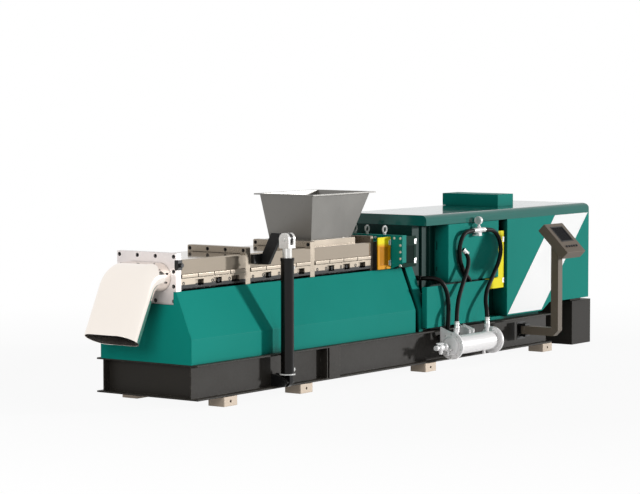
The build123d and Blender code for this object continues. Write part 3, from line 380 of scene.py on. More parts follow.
def steels(tone):
    """Bare steel of the feet, the barrel, the duct and the fastenings, and the hopper's sheet."""
    barrel = tuple(tone.barrel)
    bright = tuple(tone.bright)
    rubbed = (0.6, 0.57, 0.52)
    # Painted shade: the lower barrel halves turn black up to 34 mm above their foot
    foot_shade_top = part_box("barrel_lower_1")[0].z + 0.034
    finish("Foot steel", linear(168, 154, 138), 0.35, 0.55, metallic=0.35, grain=90, bump=0.12, wear=0.4,
           worn=(0.5, 0.45, 0.4), edge=0.006, shift=0.12)
    # Each recess below paints shade into the steel's bores, slots and joints
    finish("Barrel steel", times(barrel, 0.6), 0.24, 0.4, metallic=0.6, grain=70, along=(1, 1, 6),
           wear=0.4, worn=rubbed, shift=0.12, recess=0.06)
    finish("Lid steel", times(barrel, 0.9), 0.05, 0.1, metallic=0.6, grain=70, bump=0.008, shift=0.06)
    finish("Lower barrel steel", times(barrel, 0.6), 0.24, 0.4, metallic=0.6, grain=70, along=(1, 1, 6),
           wear=0.3, worn=rubbed, recess=0.06, levels=[((0, 0, -1), -foot_shade_top, 0.0005 - foot_shade_top, FOOT_SHADE_BLACK)])
    finish("Plate steel", times(barrel, 0.6), 0.2, 0.36, metallic=0.7, grain=80, along=(5, 1, 1),
           wear=0.3, worn=(0.8, 0.78, 0.74), shift=0.08, recess=0.04)
    finish("Bright steel", bright, 0.16, 0.3, metallic=0.55, grain=90, bump=0.03, shift=0.04)
    finish("Duct steel", (0.95, 0.88, 0.81), 0.06, 0.14, metallic=0.92, grain=120, along=(0.3, 4, 1),
           bump=0.02, edge=0.003, shift=0.03, recess=0.45)
    finish("Die plate steel", (0.93, 0.86, 0.84), 0.25, 0.4, metallic=0.35, grain=90, bump=0.03,
           shift=0.03, recess=0.03)
    finish("Screw steel", bright, 0.2, 0.35, metallic=0.9, grain=90, edge=0.003)
    # Black of the barrel screws, and of the rings of painted shade round the open bolt holes
    finish("Dark screws and hole shade", SCREW_AND_HOLE_SHADE_BLACK, 0.35, 0.5, metallic=0.3, grain=120, edge=0.0015, specular=0.2)
    finish("Zinc steel", (0.74, 0.74, 0.72), 0.25, 0.42, metallic=0.6, grain=120, edge=0.0015)
    finish("Hopper sheet", tuple(tone.hopper), 0.26, 0.42, metallic=0.6, grain=50, along=(1, 1, 0.12),
           bump=0.04, dust=0.12, edge=0.003, shift=0.12)


def enamels(tone):
    """Enamels of the brackets, the ram, the cooler, the guards and the console, and the guards' panes."""
    black = tuple(tone.black)
    guard = tuple(tone.guard)
    lit_side = at(1275, 0, 0).x + 0.067
    ring_top = 0.234
    ring_foot = 0.222
    amber_start = 1.37
    amber_full = 1.335
    finish("Black enamel", black, 0.3, 0.5, grain=70, bump=0.08, wear=0.6, worn=(0.2, 0.19, 0.18),
           dust=0.05, shift=0.2, specular=0.3)
    # White past lit_side is a painted highlight down the ram's lit side; the white band between ring_top and
    # ring_foot is a ring, black below it
    finish("Ram enamel", linear(14, 12, 11), 0.1, 0.18, grain=70, bump=0.02, edge=0.003, specular=0.25,
           levels=[((1, 0, 0), lit_side - 0.0005, lit_side + 0.0005, WHITE_RING_AND_HIGHLIGHT),
                   ((0, 0, -1), -0.0005 - ring_top, 0.0005 - ring_top, WHITE_RING_AND_HIGHLIGHT),
                   ((0, 0, -1), -0.0002 - ring_foot, 0.0002 - ring_foot, black)])
    finish("Amber pane", linear(196, 128, 0), 0.2, 0.3, grain=30, bump=0.01, edge=0.001, specular=0.15)
    # Dark green of the middle guard: its yellow sheet seen over the teal behind, deepened nearly to black as
    # painted shade
    finish("Shaded green sheet", linear(6, 44, 34), 0.22, 0.32, grain=40, bump=0.02, edge=0.003, specular=0.05)
    finish("Shaded green pane", linear(2, 30, 24), 0.15, 0.25, grain=30, bump=0.01, edge=0.001, shift=0.15,
           specular=0.05)
    finish("Cooler enamel", (0.97, 0.95, 0.95), 0.24, 0.36, metallic=0.1, grain=40, bump=0.02, shift=0.03)
    finish("Guard sheet", guard, 0.3, 0.42, grain=40, bump=0.03, edge=0.003, specular=0.1,
           levels=[((0, 0, -1), -amber_start, -amber_full, tuple(tone.amber))])
    finish("Guard frame", guard, 0.32, 0.45, grain=40, bump=0.03, wear=0.3, worn=(0.5, 0.4, 0.02),
           edge=0.003, shift=0.04, specular=0.1)
    finish("Console enamel", tuple(tone.console), 0.38, 0.55, grain=160, bump=0.12, wear=0.2,
           worn=(0.5, 0.47, 0.43), shift=0.07, specular=0.2)


def small_finishes(tone):
    """Finishes of the hoses, the stripe, the screen, the buttons and the gauge."""
    finish("Hose rubber", tuple(tone.rubber), 0.34, 0.55, grain=150, bump=0.12, edge=0.0015, shift=0.25,
           specular=0.12)
    finish("White film", (1.0, 1.0, 1.0), 0.2, 0.3, bump=0.03, edge=0.001, shift=0.0, specular=0.8)
    finish("Dark glass", (0.004, 0.004, 0.005), 0.25, 0.3, grain=20, bump=0.0, edge=0.001, shift=0.3,
           specular=0.02)
    finish("Seal rubber", (0.018, 0.018, 0.018), 0.5, 0.7, grain=120, bump=0.1, edge=0.001)
    finish("Dial paint", (0.85, 0.84, 0.8), 0.3, 0.4, grain=40, bump=0.0, edge=0.0008, shift=0.03)


# Which of the machine's solids wear which finish
COATS = {
    "Housing paint": ("cabinet", "cabinet_cover", "cabinet_end_strip", "lantern_body", "motor_housing",
                      "hood_sill", "gearbox", "lower_panel", "roof_box"),
    # the gear housing in near black, as painted shade of the open bay
    "Bay painted shade": ("gear_housing",),
    "Roof paint": ("hood_roof",),
    "Flange paint": ("lantern_flange",),
    "Base paint": ("beam_near", "beam_far", "cross_beams"),
    "Pedestal paint": ("rear_box",),
    "Foot steel": ("feet",),
    "Barrel steel": ("barrel_hinges", "feed_block"),
    "Lid steel": ("barrel_lid_1", "barrel_lid_2", "barrel_lid_3"),
    "Lower barrel steel": ("barrel_lower_1", "barrel_lower_2", "barrel_lower_3"),
    "Plate steel": ("flange_2", "flange_3", "flange_4"),
    "Bright steel": ("ram_clevis",),
    "Die plate steel": ("die_plate",),
    "Cooler enamel": ("oil_cooler", "cooler_brackets", "oil_gauge"),
    "Duct steel": ("discharge_elbow",),
    "Screw steel": ("screws",),
    "Hopper sheet": ("hopper",),
    "Black enamel": ("barrel_rail", "lid_arm", "ram_bracket", "guard_frame", "arm_bracket",
                     "oil_manifold", "terminal_box", "sensor_plug"),
    "Ram enamel": ("ram_tube",),
    "Guard sheet": ("guard_front",),
    "Shaded green sheet": ("guard_middle",),
    "Guard frame": ("guard_rear",),
    "Console enamel": ("operator_panel", "panel_arm"),
}


class EXTRUDER_OT_finishes(bpy.types.Operator):
    """Build the finishes and give them to the machine's solids"""
    bl_idname = "extruder.finishes"
    bl_label = "Finishes"

    def execute(self, context):
        tone = context.scene.extruder_colours
        for build in (build_edge_group, build_dust_group, build_recess_shade_group, build_grain_group,
                      build_band_group):
            build()
        for family in (housing_paints, steels, enamels, small_finishes):
            family(tone)
        for material, names in COATS.items():
            for name in names:
                piece = NODES[name]
                piece.data.materials.clear()
                piece.data.materials.append(MATERIALS[material])
        return {"FINISHED"}


# Modelling helpers

def start_clear():
    """Object mode with nothing selected, so that an operator acts on its own piece alone."""
    if bpy.context.object and bpy.context.object.mode != "OBJECT":
        bpy.ops.object.mode_set(mode="OBJECT")
    bpy.ops.object.select_all(action="DESELECT")


def settle(piece, name, body, material, smooth=None):
    """Names a finished piece, puts its place into its mesh and hangs it on its body."""
    start_clear()
    piece.select_set(True)
    bpy.context.view_layer.objects.active = piece
    bpy.ops.object.transform_apply(location=True, rotation=True, scale=True)
    if smooth:
        bpy.ops.object.shade_smooth_by_angle(angle=radians(smooth))
    piece.name = name
    piece.data.name = name
    piece.data.materials.clear()
    piece.data.materials.append(MATERIALS[material])
    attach(piece, body)
    piece.select_set(False)


def select_faces(piece, test):
    """In edit mode, selects only the faces whose centre and normal pass a test."""
    bpy.ops.mesh.select_all(action="DESELECT")
    bpy.ops.object.mode_set(mode="OBJECT")
    for face in piece.data.polygons:
        face.select = test(face.center, face.normal)
    bpy.ops.object.mode_set(mode="EDIT")
    bpy.ops.mesh.select_mode(type="FACE")


def stand(piece, spot, direction):
    """Stands a piece on a spot, with its own Z along a direction."""
    piece.rotation_mode = "QUATERNION"
    piece.rotation_quaternion = Vector(direction).to_track_quat("Z", "Y")
    piece.location = spot


def joined(pieces):
    """Several pieces made one."""
    start_clear()
    for piece in pieces:
        piece.select_set(True)
    bpy.context.view_layer.objects.active = pieces[0]
    bpy.ops.object.join()
    return pieces[0]


def bolt_head(width, height, recess):
    """A hexagon head with a turned crown, or a round head with a hexagon socket, standing on z = 0."""
    start_clear()
    bpy.ops.mesh.primitive_cylinder_add(vertices=16 if recess else 6, radius=width / 2, depth=height,
                                        location=(0, 0, height / 2))
    head = bpy.context.object
    bpy.ops.object.mode_set(mode="EDIT")
    select_faces(head, lambda c, n: n.z > 0.9)
    if recess:
        bpy.ops.mesh.bevel(offset=height * 0.12, segments=1)
        select_faces(head, lambda c, n: n.z > 0.99)
        bpy.ops.mesh.inset(thickness=width * 0.2)
        bpy.ops.mesh.extrude_region_move(TRANSFORM_OT_translate={"value": (0, 0, -height * 0.5)})
    else:
        bpy.ops.mesh.inset(thickness=width * 0.08)
        bpy.ops.transform.translate(value=(0, 0, height * 0.1))
        select_faces(head, lambda c, n: n.z < -0.9)
        bpy.ops.mesh.extrude_region_move(TRANSFORM_OT_translate={"value": (0, 0, 0)})
        bpy.ops.transform.resize(value=(1.25, 1.25, 1))
    bpy.ops.object.mode_set(mode="OBJECT")
    return head


def collar(inner, outer, height):
    """A flat ring that stands on z = 0."""
    start_clear()
    bpy.ops.mesh.primitive_cylinder_add(vertices=24, radius=outer, depth=height, location=(0, 0, height / 2))
    ring = bpy.context.object
    bpy.ops.object.mode_set(mode="EDIT")
    select_faces(ring, lambda c, n: abs(n.z) > 0.9)
    bpy.ops.mesh.inset(thickness=outer - inner, use_individual=True)
    bpy.ops.mesh.bridge_edge_loops()
    bpy.ops.object.mode_set(mode="OBJECT")
    return ring


def repeat(model, places, name, body, material, smooth=35):
    """Copies of a model, each with its own mesh, joined into one piece.

    Each place is a spot and the direction of the copy's own Z.
    """
    made = []
    for spot, direction in places:
        piece = model.copy()
        piece.data = model.data.copy()
        bpy.context.collection.objects.link(piece)
        stand(piece, spot, direction)
        made.append(piece)
    bpy.data.objects.remove(model)
    settle(joined(made), name, body, material, smooth)


def turned(profile, spot, direction, vertices=32):
    """A round piece with its first ring on a spot, extruded ring by ring along a direction.

    The profile is a list of (radius, height) pairs, of whose heights only the steps between them count.
    """
    start_clear()
    bpy.ops.mesh.primitive_circle_add(vertices=vertices, radius=profile[0][0], fill_type="NGON")
    piece = bpy.context.object
    bpy.ops.object.mode_set(mode="EDIT")
    bpy.ops.mesh.select_all(action="SELECT")
    bpy.ops.mesh.extrude_region()
    for before, after in zip(profile, profile[1:]):
        bpy.ops.transform.translate(value=(0, 0, after[1] - before[1]))
        share = after[0] / before[0]
        bpy.ops.transform.resize(value=(share, share, 1))
        if after != profile[-1]:
            bpy.ops.mesh.extrude_region()
    bpy.ops.mesh.select_all(action="SELECT")
    bpy.ops.mesh.normals_make_consistent(inside=False)
    bpy.ops.object.mode_set(mode="OBJECT")
    stand(piece, spot, direction)
    return piece


def block(size, bevel, middle=(0, 0, 0)):
    """A block with its edges bevelled."""
    start_clear()
    bpy.ops.mesh.primitive_cube_add(size=1, location=middle, scale=size)
    piece = bpy.context.object
    bpy.ops.object.transform_apply(location=False, rotation=False, scale=True)
    bpy.ops.object.mode_set(mode="EDIT")
    bpy.ops.mesh.select_all(action="SELECT")
    bpy.ops.mesh.bevel(offset=bevel, segments=2)
    bpy.ops.object.mode_set(mode="OBJECT")
    return piece


def plate(corner, opposite, bevel):
    """A bevelled block between two opposite corners."""
    low = Vector(map(min, corner, opposite))
    high = Vector(map(max, corner, opposite))
    return block(high - low, bevel, (low + high) / 2)


# Fastenings

class EXTRUDER_OT_barrel_screws(bpy.types.Operator):
    """Socket screws along both sides of the barrel's lower halves"""
    bl_idname = "extruder.barrel_screws"
    bl_label = "Barrel screws"

    def execute(self, context):
        size = context.scene.extruder_sizes
        stations = (115, 546, 637, 805, 1171, 1334, 1433, 1587, 2221, 2369, 2467, 2627, 2723, 2881)
        half_width = 355.5
        level = 1159
        stagger = 4
        for side, word in ((-1, "near"), (1, "far")):
            places = [(at(x, side * half_width, level + stagger * (k % 2)), (0, side, 0))
                      for k, x in enumerate(stations)]
            repeat(bolt_head(size.screw_width, 0.006, True), places, "barrel_screws_" + word, "base",
                   "Dark screws and hole shade")
        return {"FINISHED"}


class EXTRUDER_OT_hole_shade_rings(bpy.types.Operator):
    """Dark rings of painted shade round the open bolt holes of the die plate and of the plates between the
    lids
    """
    bl_idname = "extruder.plate_collars"
    bl_label = "Hole shade rings"

    def execute(self, context):
        rows = (1000, 1138, 1276, 1414)
        columns = (-328, -109.3, 109.3, 328)
        side_row = 1292
        hole = 0.0112
        rim = 0.019
        thickness = 0.0015
        holes = {"die_plate": [(y, z) for z in rows for y in columns
                               if z in (rows[0], rows[-1]) or y in (columns[0], columns[-1])]}
        for name in ("flange_2", "flange_3"):
            holes[name] = [(y, rows[-1]) for y in columns]
            holes[name] += [(y, side_row) for y in (columns[0], columns[-1])]
        for name, spots in holes.items():
            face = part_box(name)[0].x
            places = [(Vector((face, at(0, y, z).y, z / 1000)), (-1, 0, 0)) for y, z in spots]
            repeat(collar(hole, rim, thickness), places, name + "_collars", "base",
                   "Dark screws and hole shade")
        return {"FINISHED"}


class EXTRUDER_OT_flange_bolts(bpy.types.Operator):
    """Hexagon bolts along the top and both sides of the lantern flange"""
    bl_idname = "extruder.flange_bolts"
    bl_label = "Flange bolts"

    def execute(self, context):
        size = context.scene.extruder_sizes
        face = 3450
        top = 1412
        outer = 523
        spots = [(y, top) for y in (51, 212, 367, 446, outer)]
        spots += [(outer, z) for z in (1340, 1270, 1200, 1130)]
        places = [(at(face, side * y, z), (-1, 0, 0)) for y, z in spots for side in (-1, 1)]
        repeat(bolt_head(size.flange_bolt, 0.01, False), places, "lantern_bolts", "base",
               "Zinc steel")
        return {"FINISHED"}


COOLER_Y = -770
COOLER_Z = 262


def cooler_valve():
    """The valve on the cooler's near end, with its drain, stem and lever."""
    end = Vector((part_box("oil_cooler")[0].x, at(0, COOLER_Y, 0).y, COOLER_Z / 1000))
    middle = end + Vector((-0.085, 0, 0))
    lean = Vector((0, -0.5, 1))
    valve = turned([(0.04, 0.0), (0.04, 0.016), (0.021, 0.02), (0.021, 0.05), (0.033, 0.054), (0.036, 0.07),
                    (0.036, 0.1), (0.033, 0.116), (0.021, 0.12), (0.021, 0.15), (0.027, 0.152),
                    (0.027, 0.18)], end, (-1, 0, 0))
    settle(valve, "cooler_valve", "base", "Cooler enamel", 30)
    drain = turned([(0.016, 0.03), (0.016, 0.06), (0.022, 0.062), (0.022, 0.085), (0.016, 0.087),
                    (0.016, 0.1)], middle, (0, 0, -1), 16)
    settle(drain, "cooler_valve_drain", "base", "Cooler enamel", 30)
    stem = turned([(0.009, 0.03), (0.009, 0.052)], middle, lean, 16)
    settle(stem, "cooler_valve_stem", "base", "Zinc steel", 30)
    lever = plate((-0.014, -0.012, 0.05), (0.014, 0.11, 0.056), 0.002)
    lever.rotation_mode = "QUATERNION"
    lever.rotation_quaternion = lean.to_track_quat("Z", "X")
    lever.location = middle + lever.rotation_quaternion @ lever.location
    settle(lever, "cooler_valve_lever", "base", "Cooler enamel", 30)


class EXTRUDER_OT_cooler_fittings(bpy.types.Operator):
    """Bolts round the cooler's flanges, and the valve on its near end"""
    bl_idname = "extruder.cooler_fittings"
    bl_label = "Cooler fittings"

    def execute(self, context):
        size = context.scene.extruder_sizes
        count = 10
        circle = 122
        places = []
        for x, way in ((4039, -1), (4851, 1)):
            for k in range(count):
                turn = 2 * pi * (k + 0.5) / count
                spot = at(x, COOLER_Y + circle * cos(turn), COOLER_Z + circle * sin(turn))
                places.append((spot, (way, 0, 0)))
        repeat(bolt_head(size.cooler_bolt, 0.009, False), places, "cooler_bolts", "base",
               "Zinc steel")
        cooler_valve()
        return {"FINISHED"}


# Hoses

# Each hose's route from fitting to fitting, as stations of the layout
HOSES = {
    "hose_left": [(4795, -605, 1434), (4680, -605, 1434), (4550, -602, 1418), (4480, -592, 1320),
                  (4478, -582, 1190), (4520, -578, 1070), (4610, -577, 970), (4712, -577, 890),
                  (4712, -577, 800)],
    "hose_loop": [(4545, -585, 1240), (4600, -612, 1185), (4575, -640, 1090), (4500, -655, 985),
                  (4400, -672, 870), (4300, -695, 760), (4205, -735, 660), (4140, -770, 560),
                  (4140, -770, 440)],
    "hose_right": [(4865, -605, 1434), (5000, -605, 1434), (5140, -606, 1415), (5240, -608, 1325),
                   (5275, -612, 1210), (5225, -620, 1090), (5120, -632, 980), (5000, -650, 880),
                   (4880, -672, 780), (4790, -715, 670), (4740, -770, 560), (4740, -770, 440)],
    "hose_low": [(3965, -370, 962), (3965, -455, 962), (3998, -545, 968), (4048, -632, 945),
                 (4110, -656, 850), (4148, -657, 742), (4160, -654, 632), (4160, -651, 520),
                 (4158, -646, 412), (4152, -608, 330), (4152, -534, 330)],
}


def lay_hose(name, size):
    """One oil hose along its route, as a smooth curve."""
    line = bpy.data.curves.new(name + "_line", "CURVE")
    line.dimensions = "3D"
    line.resolution_u = 10
    line.bevel_depth = size.hose / 2
    line.bevel_resolution = 5
    line.use_fill_caps = True
    spline = line.splines.new("NURBS")
    spline.points.add(len(HOSES[name]) - 1)
    for point, station in zip(spline.points, HOSES[name]):
        point.co = (*at(*station), 1.0)
    spline.order_u = 3
    spline.use_endpoint_u = True
    hose = bpy.data.objects.new(name + "_cover", line)
    bpy.context.collection.objects.link(hose)
    line.materials.append(MATERIALS["Hose rubber"])
    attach(hose, "base")
    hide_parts(name)


class EXTRUDER_OT_hoses(bpy.types.Operator):
    """Oil hoses with a crimped ferrule at each end"""
    bl_idname = "extruder.hoses"
    bl_label = "Hoses"

    def execute(self, context):
        size = context.scene.extruder_sizes
        radius = size.hose / 2
        wide = radius * 1.2
        tight = radius * 1.1
        length = size.ferrule
        profile = [(radius * 0.99, 0.0), (wide, 0.002), (wide, length * 0.3), (tight, length * 0.36),
                   (tight, length * 0.44), (wide, length * 0.5), (wide, length * 0.62),
                   (tight, length * 0.68), (tight, length * 0.76), (wide, length * 0.82),
                   (wide, length * 0.97), (radius * 1.04, length)]
        for name, route in HOSES.items():
            lay_hose(name, size)
            metal = "Black enamel" if name == "hose_low" else "Zinc steel"
            for end, first, second in (("start", route[0], route[1]), ("end", route[-1], route[-2])):
                sleeve = turned(profile, at(*first), at(*second) - at(*first))
                settle(sleeve, name + "_ferrule_" + end, "base", metal, 30)
        return {"FINISHED"}


# Guard doors

# Each door's hinged edge, outer face and hinge heights, in millimetres
DOORS = {
    "guard_front": (3430, -412, (1158, 1368)),
    "guard_middle": (3860, -440, (1158, 1360)),
    "guard_rear": (5480, -520, (850, 1300)),
}


def door_hinge(door, number, edge, face, height):
    """A hinge's leaf and barrel on a door's hinged edge."""
    half = 26
    leaf = plate(at(edge - 34, face - 3, height - half), at(edge - 4, face + 0.5, height + half), 0.001)
    settle(leaf, "%s_leaf_%d" % (door, number), door, "Zinc steel")
    sleeve = turned([(0.0102, 0), (0.0106, 0.001), (0.0106, 0.057), (0.0102, 0.058)],
                    at(edge + 1, face + 6, height - half - 3), (0, 0, 1), 20)
    settle(sleeve, "%s_barrel_%d" % (door, number), door, "Zinc steel", 30)


def door_pane(door, face, glass):
    """A window pane inside the margins of a door's sheet."""
    low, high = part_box(door)
    face_y = at(0, face, 0).y
    corner = (low.x + 0.03, face_y + 0.0025, low.z + 0.04)
    opposite = (high.x - 0.051, face_y + 0.0052, high.z - 0.1)
    settle(plate(corner, opposite, 0.0008), door + "_pane", door, glass)


class EXTRUDER_OT_guards(bpy.types.Operator):
    """Hinges of the three guard doors, and the window panes of two"""
    bl_idname = "extruder.guards"
    bl_label = "Guard doors"

    def execute(self, context):
        for door, (edge, face, heights) in DOORS.items():
            for k, height in enumerate(heights):
                door_hinge(door, k + 1, edge, face, height)
        for door, glass in (("guard_front", "Amber pane"), ("guard_middle", "Shaded green pane")):
            door_pane(door, DOORS[door][1], glass)
        return {"FINISHED"}


# Operator panel

# The panel's face: its lean, its length up the slope, and its upper edge in millimetres
PANEL_LEAN = radians(45)
PANEL_SLOPE = 421
PANEL_X = 5685
PANEL_Y = -1022
PANEL_Z = 1478


def on_panel(right, up, out):
    """A point on the operator panel's face, from its centre, in millimetres."""
    rise = sin(PANEL_LEAN)
    run = cos(PANEL_LEAN)
    centre_y = PANEL_Y - PANEL_SLOPE * run / 2
    centre_z = PANEL_Z - PANEL_SLOPE * rise / 2
    return at(PANEL_X + right, centre_y + up * run - out * rise, centre_z + up * rise + out * run)


def panel_plate(right, up, width, height, depth, out, bevel, name, material):
    """A plate that lies on the operator panel's face, sized and placed in millimetres."""
    piece = block((width / 1000, height / 1000, depth / 1000), bevel / 1000)
    piece.rotation_euler = (PANEL_LEAN, 0, 0)
    piece.location = on_panel(right, up, out + depth / 2)
    settle(piece, name, "panel", material)


class EXTRUDER_OT_operator_panel(bpy.types.Operator):
    """Screen, bezel and push buttons of the operator panel"""
    bl_idname = "extruder.operator_panel"
    bl_label = "Operator panel"

    def execute(self, context):
        out_of_face = (0, -sin(PANEL_LEAN), cos(PANEL_LEAN))
        pitch = 52
        panel_plate(0, 55, 232, 192, 3, -4, 1, "panel_screen", "Dark glass")
        for name, right, up, width, height in (("top", 0, 157, 256, 14), ("bottom", 0, -47, 256, 14),
                                               ("left", -121, 55, 14, 190), ("right", 121, 55, 14, 190)):
            panel_plate(right, up, width, height, 3, 0, 1, "panel_bezel_" + name, "Seal rubber")
        for k in range(5):
            cap = turned([(0.0125, 0), (0.0132, 0.001), (0.0132, 0.009), (0.012, 0.0115), (0.004, 0.0125)],
                         on_panel(-110 + pitch * k, -125, 0.2), out_of_face, 24)
            settle(cap, "panel_button_%d" % (k + 1), "panel", "Seal rubber", 30)
        return {"FINISHED"}


# Gauge and stripe

class EXTRUDER_OT_gauge_dial(bpy.types.Operator):
    """Dial, pointer and rim of the oil gauge"""
    bl_idname = "extruder.gauge_dial"
    bl_label = "Gauge dial"

    def execute(self, context):
        face = 4813
        gauge_y = -605
        gauge_z = 1538
        middle = at(face, gauge_y, gauge_z)
        rim = turned([(0.036, -0.002), (0.043, -0.001), (0.043, 0.003), (0.041, 0.005), (0.037, 0.005),
                      (0.036, 0.0015)], middle, (-1, 0, 0), 40)
        settle(rim, "gauge_rim", "base", "Zinc steel", 40)
        dial = turned([(0.0355, 0.0), (0.0355, 0.0018), (0.03, 0.002)], middle, (-1, 0, 0), 40)
        settle(dial, "gauge_dial", "base", "Dial paint", 40)
        marks = []
        start_clear()
        for k in range(11):
            turn = radians(-45 + 27 * k)
            bpy.ops.mesh.primitive_cube_add(size=1, scale=(0.0008, 0.0012, 0.006))
            mark = bpy.context.object
            mark.rotation_euler = (turn, 0, 0)
            mark.location = at(face - 2.4, gauge_y, gauge_z) + Vector((0, -sin(turn), cos(turn))) * 0.029
            marks.append(mark)
        turn = radians(40)
        bpy.ops.mesh.primitive_cone_add(vertices=4, radius1=0.0022, radius2=0.0004, depth=0.03)
        pointer = bpy.context.object
        pointer.rotation_euler = (turn, 0, 0)
        pointer.scale = (0.4, 1, 1)
        pointer.location = at(face - 3, gauge_y, gauge_z) + Vector((0, -sin(turn), cos(turn))) * 0.011
        settle(joined(marks + [pointer]), "gauge_marks", "base", "Seal rubber")
        return {"FINISHED"}


class EXTRUDER_OT_stripe(bpy.types.Operator):
    """Plain white stripe across the side of the motor's housing"""
    bl_idname = "extruder.stripe"
    bl_label = "White stripe"

    def execute(self, context):
        thick = context.scene.extruder_sizes.stripe
        side = -550.2
        corners = ((5515, 470), (6235, 470), (6524, 1518), (7262, 1518))
        start_clear()
        bpy.ops.mesh.primitive_plane_add(size=1)
        film = bpy.context.object
        for vertex, (x, z) in zip(film.data.vertices, corners):
            vertex.co = at(x, side, z)
        bpy.ops.object.mode_set(mode="EDIT")
        bpy.ops.mesh.select_all(action="SELECT")
        bpy.ops.mesh.extrude_region_move(TRANSFORM_OT_translate={"value": (0, -thick, 0)})
        bpy.ops.mesh.select_all(action="SELECT")
        bpy.ops.mesh.normals_make_consistent(inside=False)
        bpy.ops.object.mode_set(mode="OBJECT")
        settle(film, "white_stripe", "base", "White film")
        return {"FINISHED"}


# Stage

def hold(name, content, spot, turn):
    """An object that holds a light or a camera."""
    holder = bpy.data.objects.new(name, content)
    holder.location = spot
    holder.rotation_euler = turn
    bpy.context.collection.objects.link(holder)
    return holder


def looking(direction):
    """The turn of a light that shines along a direction."""
    return Vector(direction).to_track_quat("-Z", "Y").to_euler()


def area_light(name, spot, target, size, power):
    """A square soft light that looks at a point."""
    lamp = bpy.data.lights.new(name, "AREA")
    lamp.size = size
    lamp.energy = power
    hold(name, lamp, spot, looking(Vector(target) - Vector(spot)))


def seen_directly(tree, path):
    """One for what the camera and reflections see, nought for the rest of the light."""
    either = add_node(tree, "ShaderNodeMath", {0: path.outputs["Is Camera Ray"],
                                               1: path.outputs["Is Glossy Ray"]}, operation="MAXIMUM")
    return either.outputs[0]


def lay_floor(colour):
    """A pale floor that goes over to plain white with distance."""
    start_clear()
    bpy.ops.mesh.primitive_plane_add(size=160)
    floor = bpy.context.object
    floor.name = "floor"
    paper = bpy.data.materials.new("Floor")
    paper.use_nodes = True
    tree = paper.node_tree
    shader = tree.nodes["Principled BSDF"]
    shader.inputs["Base Color"].default_value = (*colour, 1)
    shader.inputs["Roughness"].default_value = 0.7
    shader.inputs["Specular IOR Level"].default_value = 0.2
    glow = add_node(tree, "ShaderNodeEmission", {"Color": (1, 1, 1, 1), "Strength": 1.0})
    place = add_node(tree, "ShaderNodeTexCoord")
    away = add_node(tree, "ShaderNodeVectorMath", {0: place.outputs["Object"]}, operation="LENGTH")
    far = add_node(tree, "ShaderNodeMapRange", {"Value": away.outputs["Value"], "From Min": 4.0,
                                                "From Max": 9.0, "To Min": 0.93, "To Max": 1.0})
    seen = seen_directly(tree, add_node(tree, "ShaderNodeLightPath"))
    share = add_node(tree, "ShaderNodeMath", {0: far.outputs["Result"], 1: seen}, operation="MULTIPLY")
    mix = add_node(tree, "ShaderNodeMixShader", {0: share.outputs[0], 1: shader.outputs[0],
                                                 2: glow.outputs[0]})
    tree.links.new(mix.outputs[0], tree.nodes["Material Output"].inputs["Surface"])
    floor.data.materials.append(paper)


def even_light(scene, strength):
    """A white surrounding that lights the machine only faintly."""
    world = bpy.data.worlds.new("Studio")
    scene.world = world
    world.use_nodes = True
    tree = world.node_tree
    even = tree.nodes["Background"]
    even.inputs["Color"].default_value = (1, 1, 1, 1)
    even.inputs["Strength"].default_value = strength
    white = add_node(tree, "ShaderNodeBackground", {"Color": (1, 1, 1, 1), "Strength": 1.0})
    path = add_node(tree, "ShaderNodeLightPath")
    clear = add_node(tree, "ShaderNodeMath", {0: seen_directly(tree, path),
                                              1: path.outputs["Is Transmission Ray"]}, operation="MAXIMUM")
    mix = add_node(tree, "ShaderNodeMixShader", {0: clear.outputs[0], 1: even.outputs[0],
                                                 2: white.outputs[0]})
    tree.links.new(mix.outputs[0], tree.nodes["World Output"].inputs["Surface"])


def photo_camera(scene):
    """The camera of the photograph."""
    lens = bpy.data.cameras.new("photo_view")
    lens.lens = 138.2266
    lens.sensor_width = 36
    lens.clip_start = 0.5
    lens.clip_end = 400
    turn = (radians(86.16875), radians(0.04524), radians(-54.00303))
    scene.camera = hold("photo_view", lens, (-20.90643, -14.3729, 3.01858), turn)


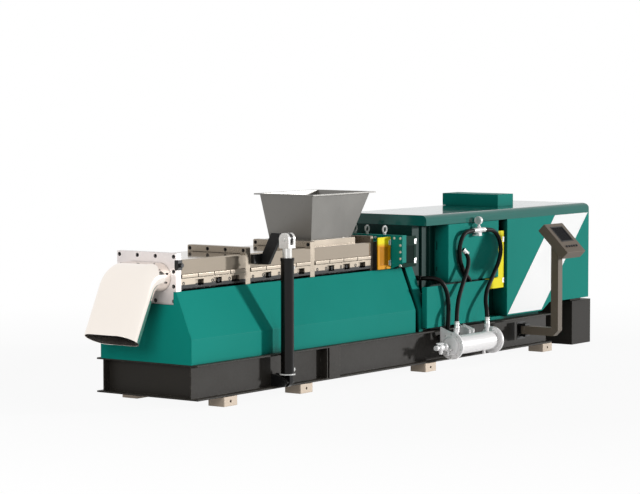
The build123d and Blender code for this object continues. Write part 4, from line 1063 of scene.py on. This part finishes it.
class EXTRUDER_OT_stage(bpy.types.Operator):
    """Pale floor, even light, key light, soft front light and the camera"""
    bl_idname = "extruder.stage"
    bl_label = "Stage"

    def execute(self, context):
        scene = context.scene
        choice = scene.extruder_stage
        scene.view_settings.view_transform = "Standard"
        lay_floor(choice.floor)
        even_light(scene, choice.fill)
        sun = bpy.data.lights.new("key", "SUN")
        sun.energy = choice.key
        sun.angle = radians(5)
        hold("key", sun, (0, 0, 0), looking((-0.66, 0.68, -0.13)))
        area_light("front_fill", (-11, -3, 3.2), (-3.2, 0, 0.9), 3.0, 260)
        photo_camera(scene)
        return {"FINISHED"}


class EXTRUDER_PT_panel(bpy.types.Panel):
    """Steps of the extruder's dressing"""
    bl_label = "Plastic Extruder"
    bl_idname = "EXTRUDER_PT_panel"
    bl_space_type = "VIEW_3D"
    bl_region_type = "UI"
    bl_category = "Extruder"

    def draw(self, context):
        for group in (context.scene.extruder_colours, context.scene.extruder_sizes,
                      context.scene.extruder_stage):
            for key in group.__annotations__:
                self.layout.prop(group, key)
        for step in STEPS:
            self.layout.operator(step.bl_idname)


STEPS = (
    EXTRUDER_OT_stage,
    EXTRUDER_OT_finishes,
    EXTRUDER_OT_hoses,
    EXTRUDER_OT_barrel_screws,
    EXTRUDER_OT_hole_shade_rings,
    EXTRUDER_OT_flange_bolts,
    EXTRUDER_OT_cooler_fittings,
    EXTRUDER_OT_guards,
    EXTRUDER_OT_operator_panel,
    EXTRUDER_OT_gauge_dial,
    EXTRUDER_OT_stripe,
)
GROUPS = (ExtruderColours, ExtruderSizes, ExtruderStage)


def register():
    for group in GROUPS:
        bpy.utils.register_class(group)
    for step in STEPS:
        bpy.utils.register_class(step)
    bpy.utils.register_class(EXTRUDER_PT_panel)
    bpy.types.Scene.extruder_colours = bpy.props.PointerProperty(type=ExtruderColours)
    bpy.types.Scene.extruder_sizes = bpy.props.PointerProperty(type=ExtruderSizes)
    bpy.types.Scene.extruder_stage = bpy.props.PointerProperty(type=ExtruderStage)


def unregister():
    del bpy.types.Scene.extruder_stage
    del bpy.types.Scene.extruder_sizes
    del bpy.types.Scene.extruder_colours
    bpy.utils.unregister_class(EXTRUDER_PT_panel)
    for step in reversed(STEPS):
        bpy.utils.unregister_class(step)
    for group in reversed(GROUPS):
        bpy.utils.unregister_class(group)


def main():
    register()
    for step in STEPS:
        section, action = step.bl_idname.split(".")
        getattr(getattr(bpy.ops, section), action)()


if __name__ == "__main__":
    main()
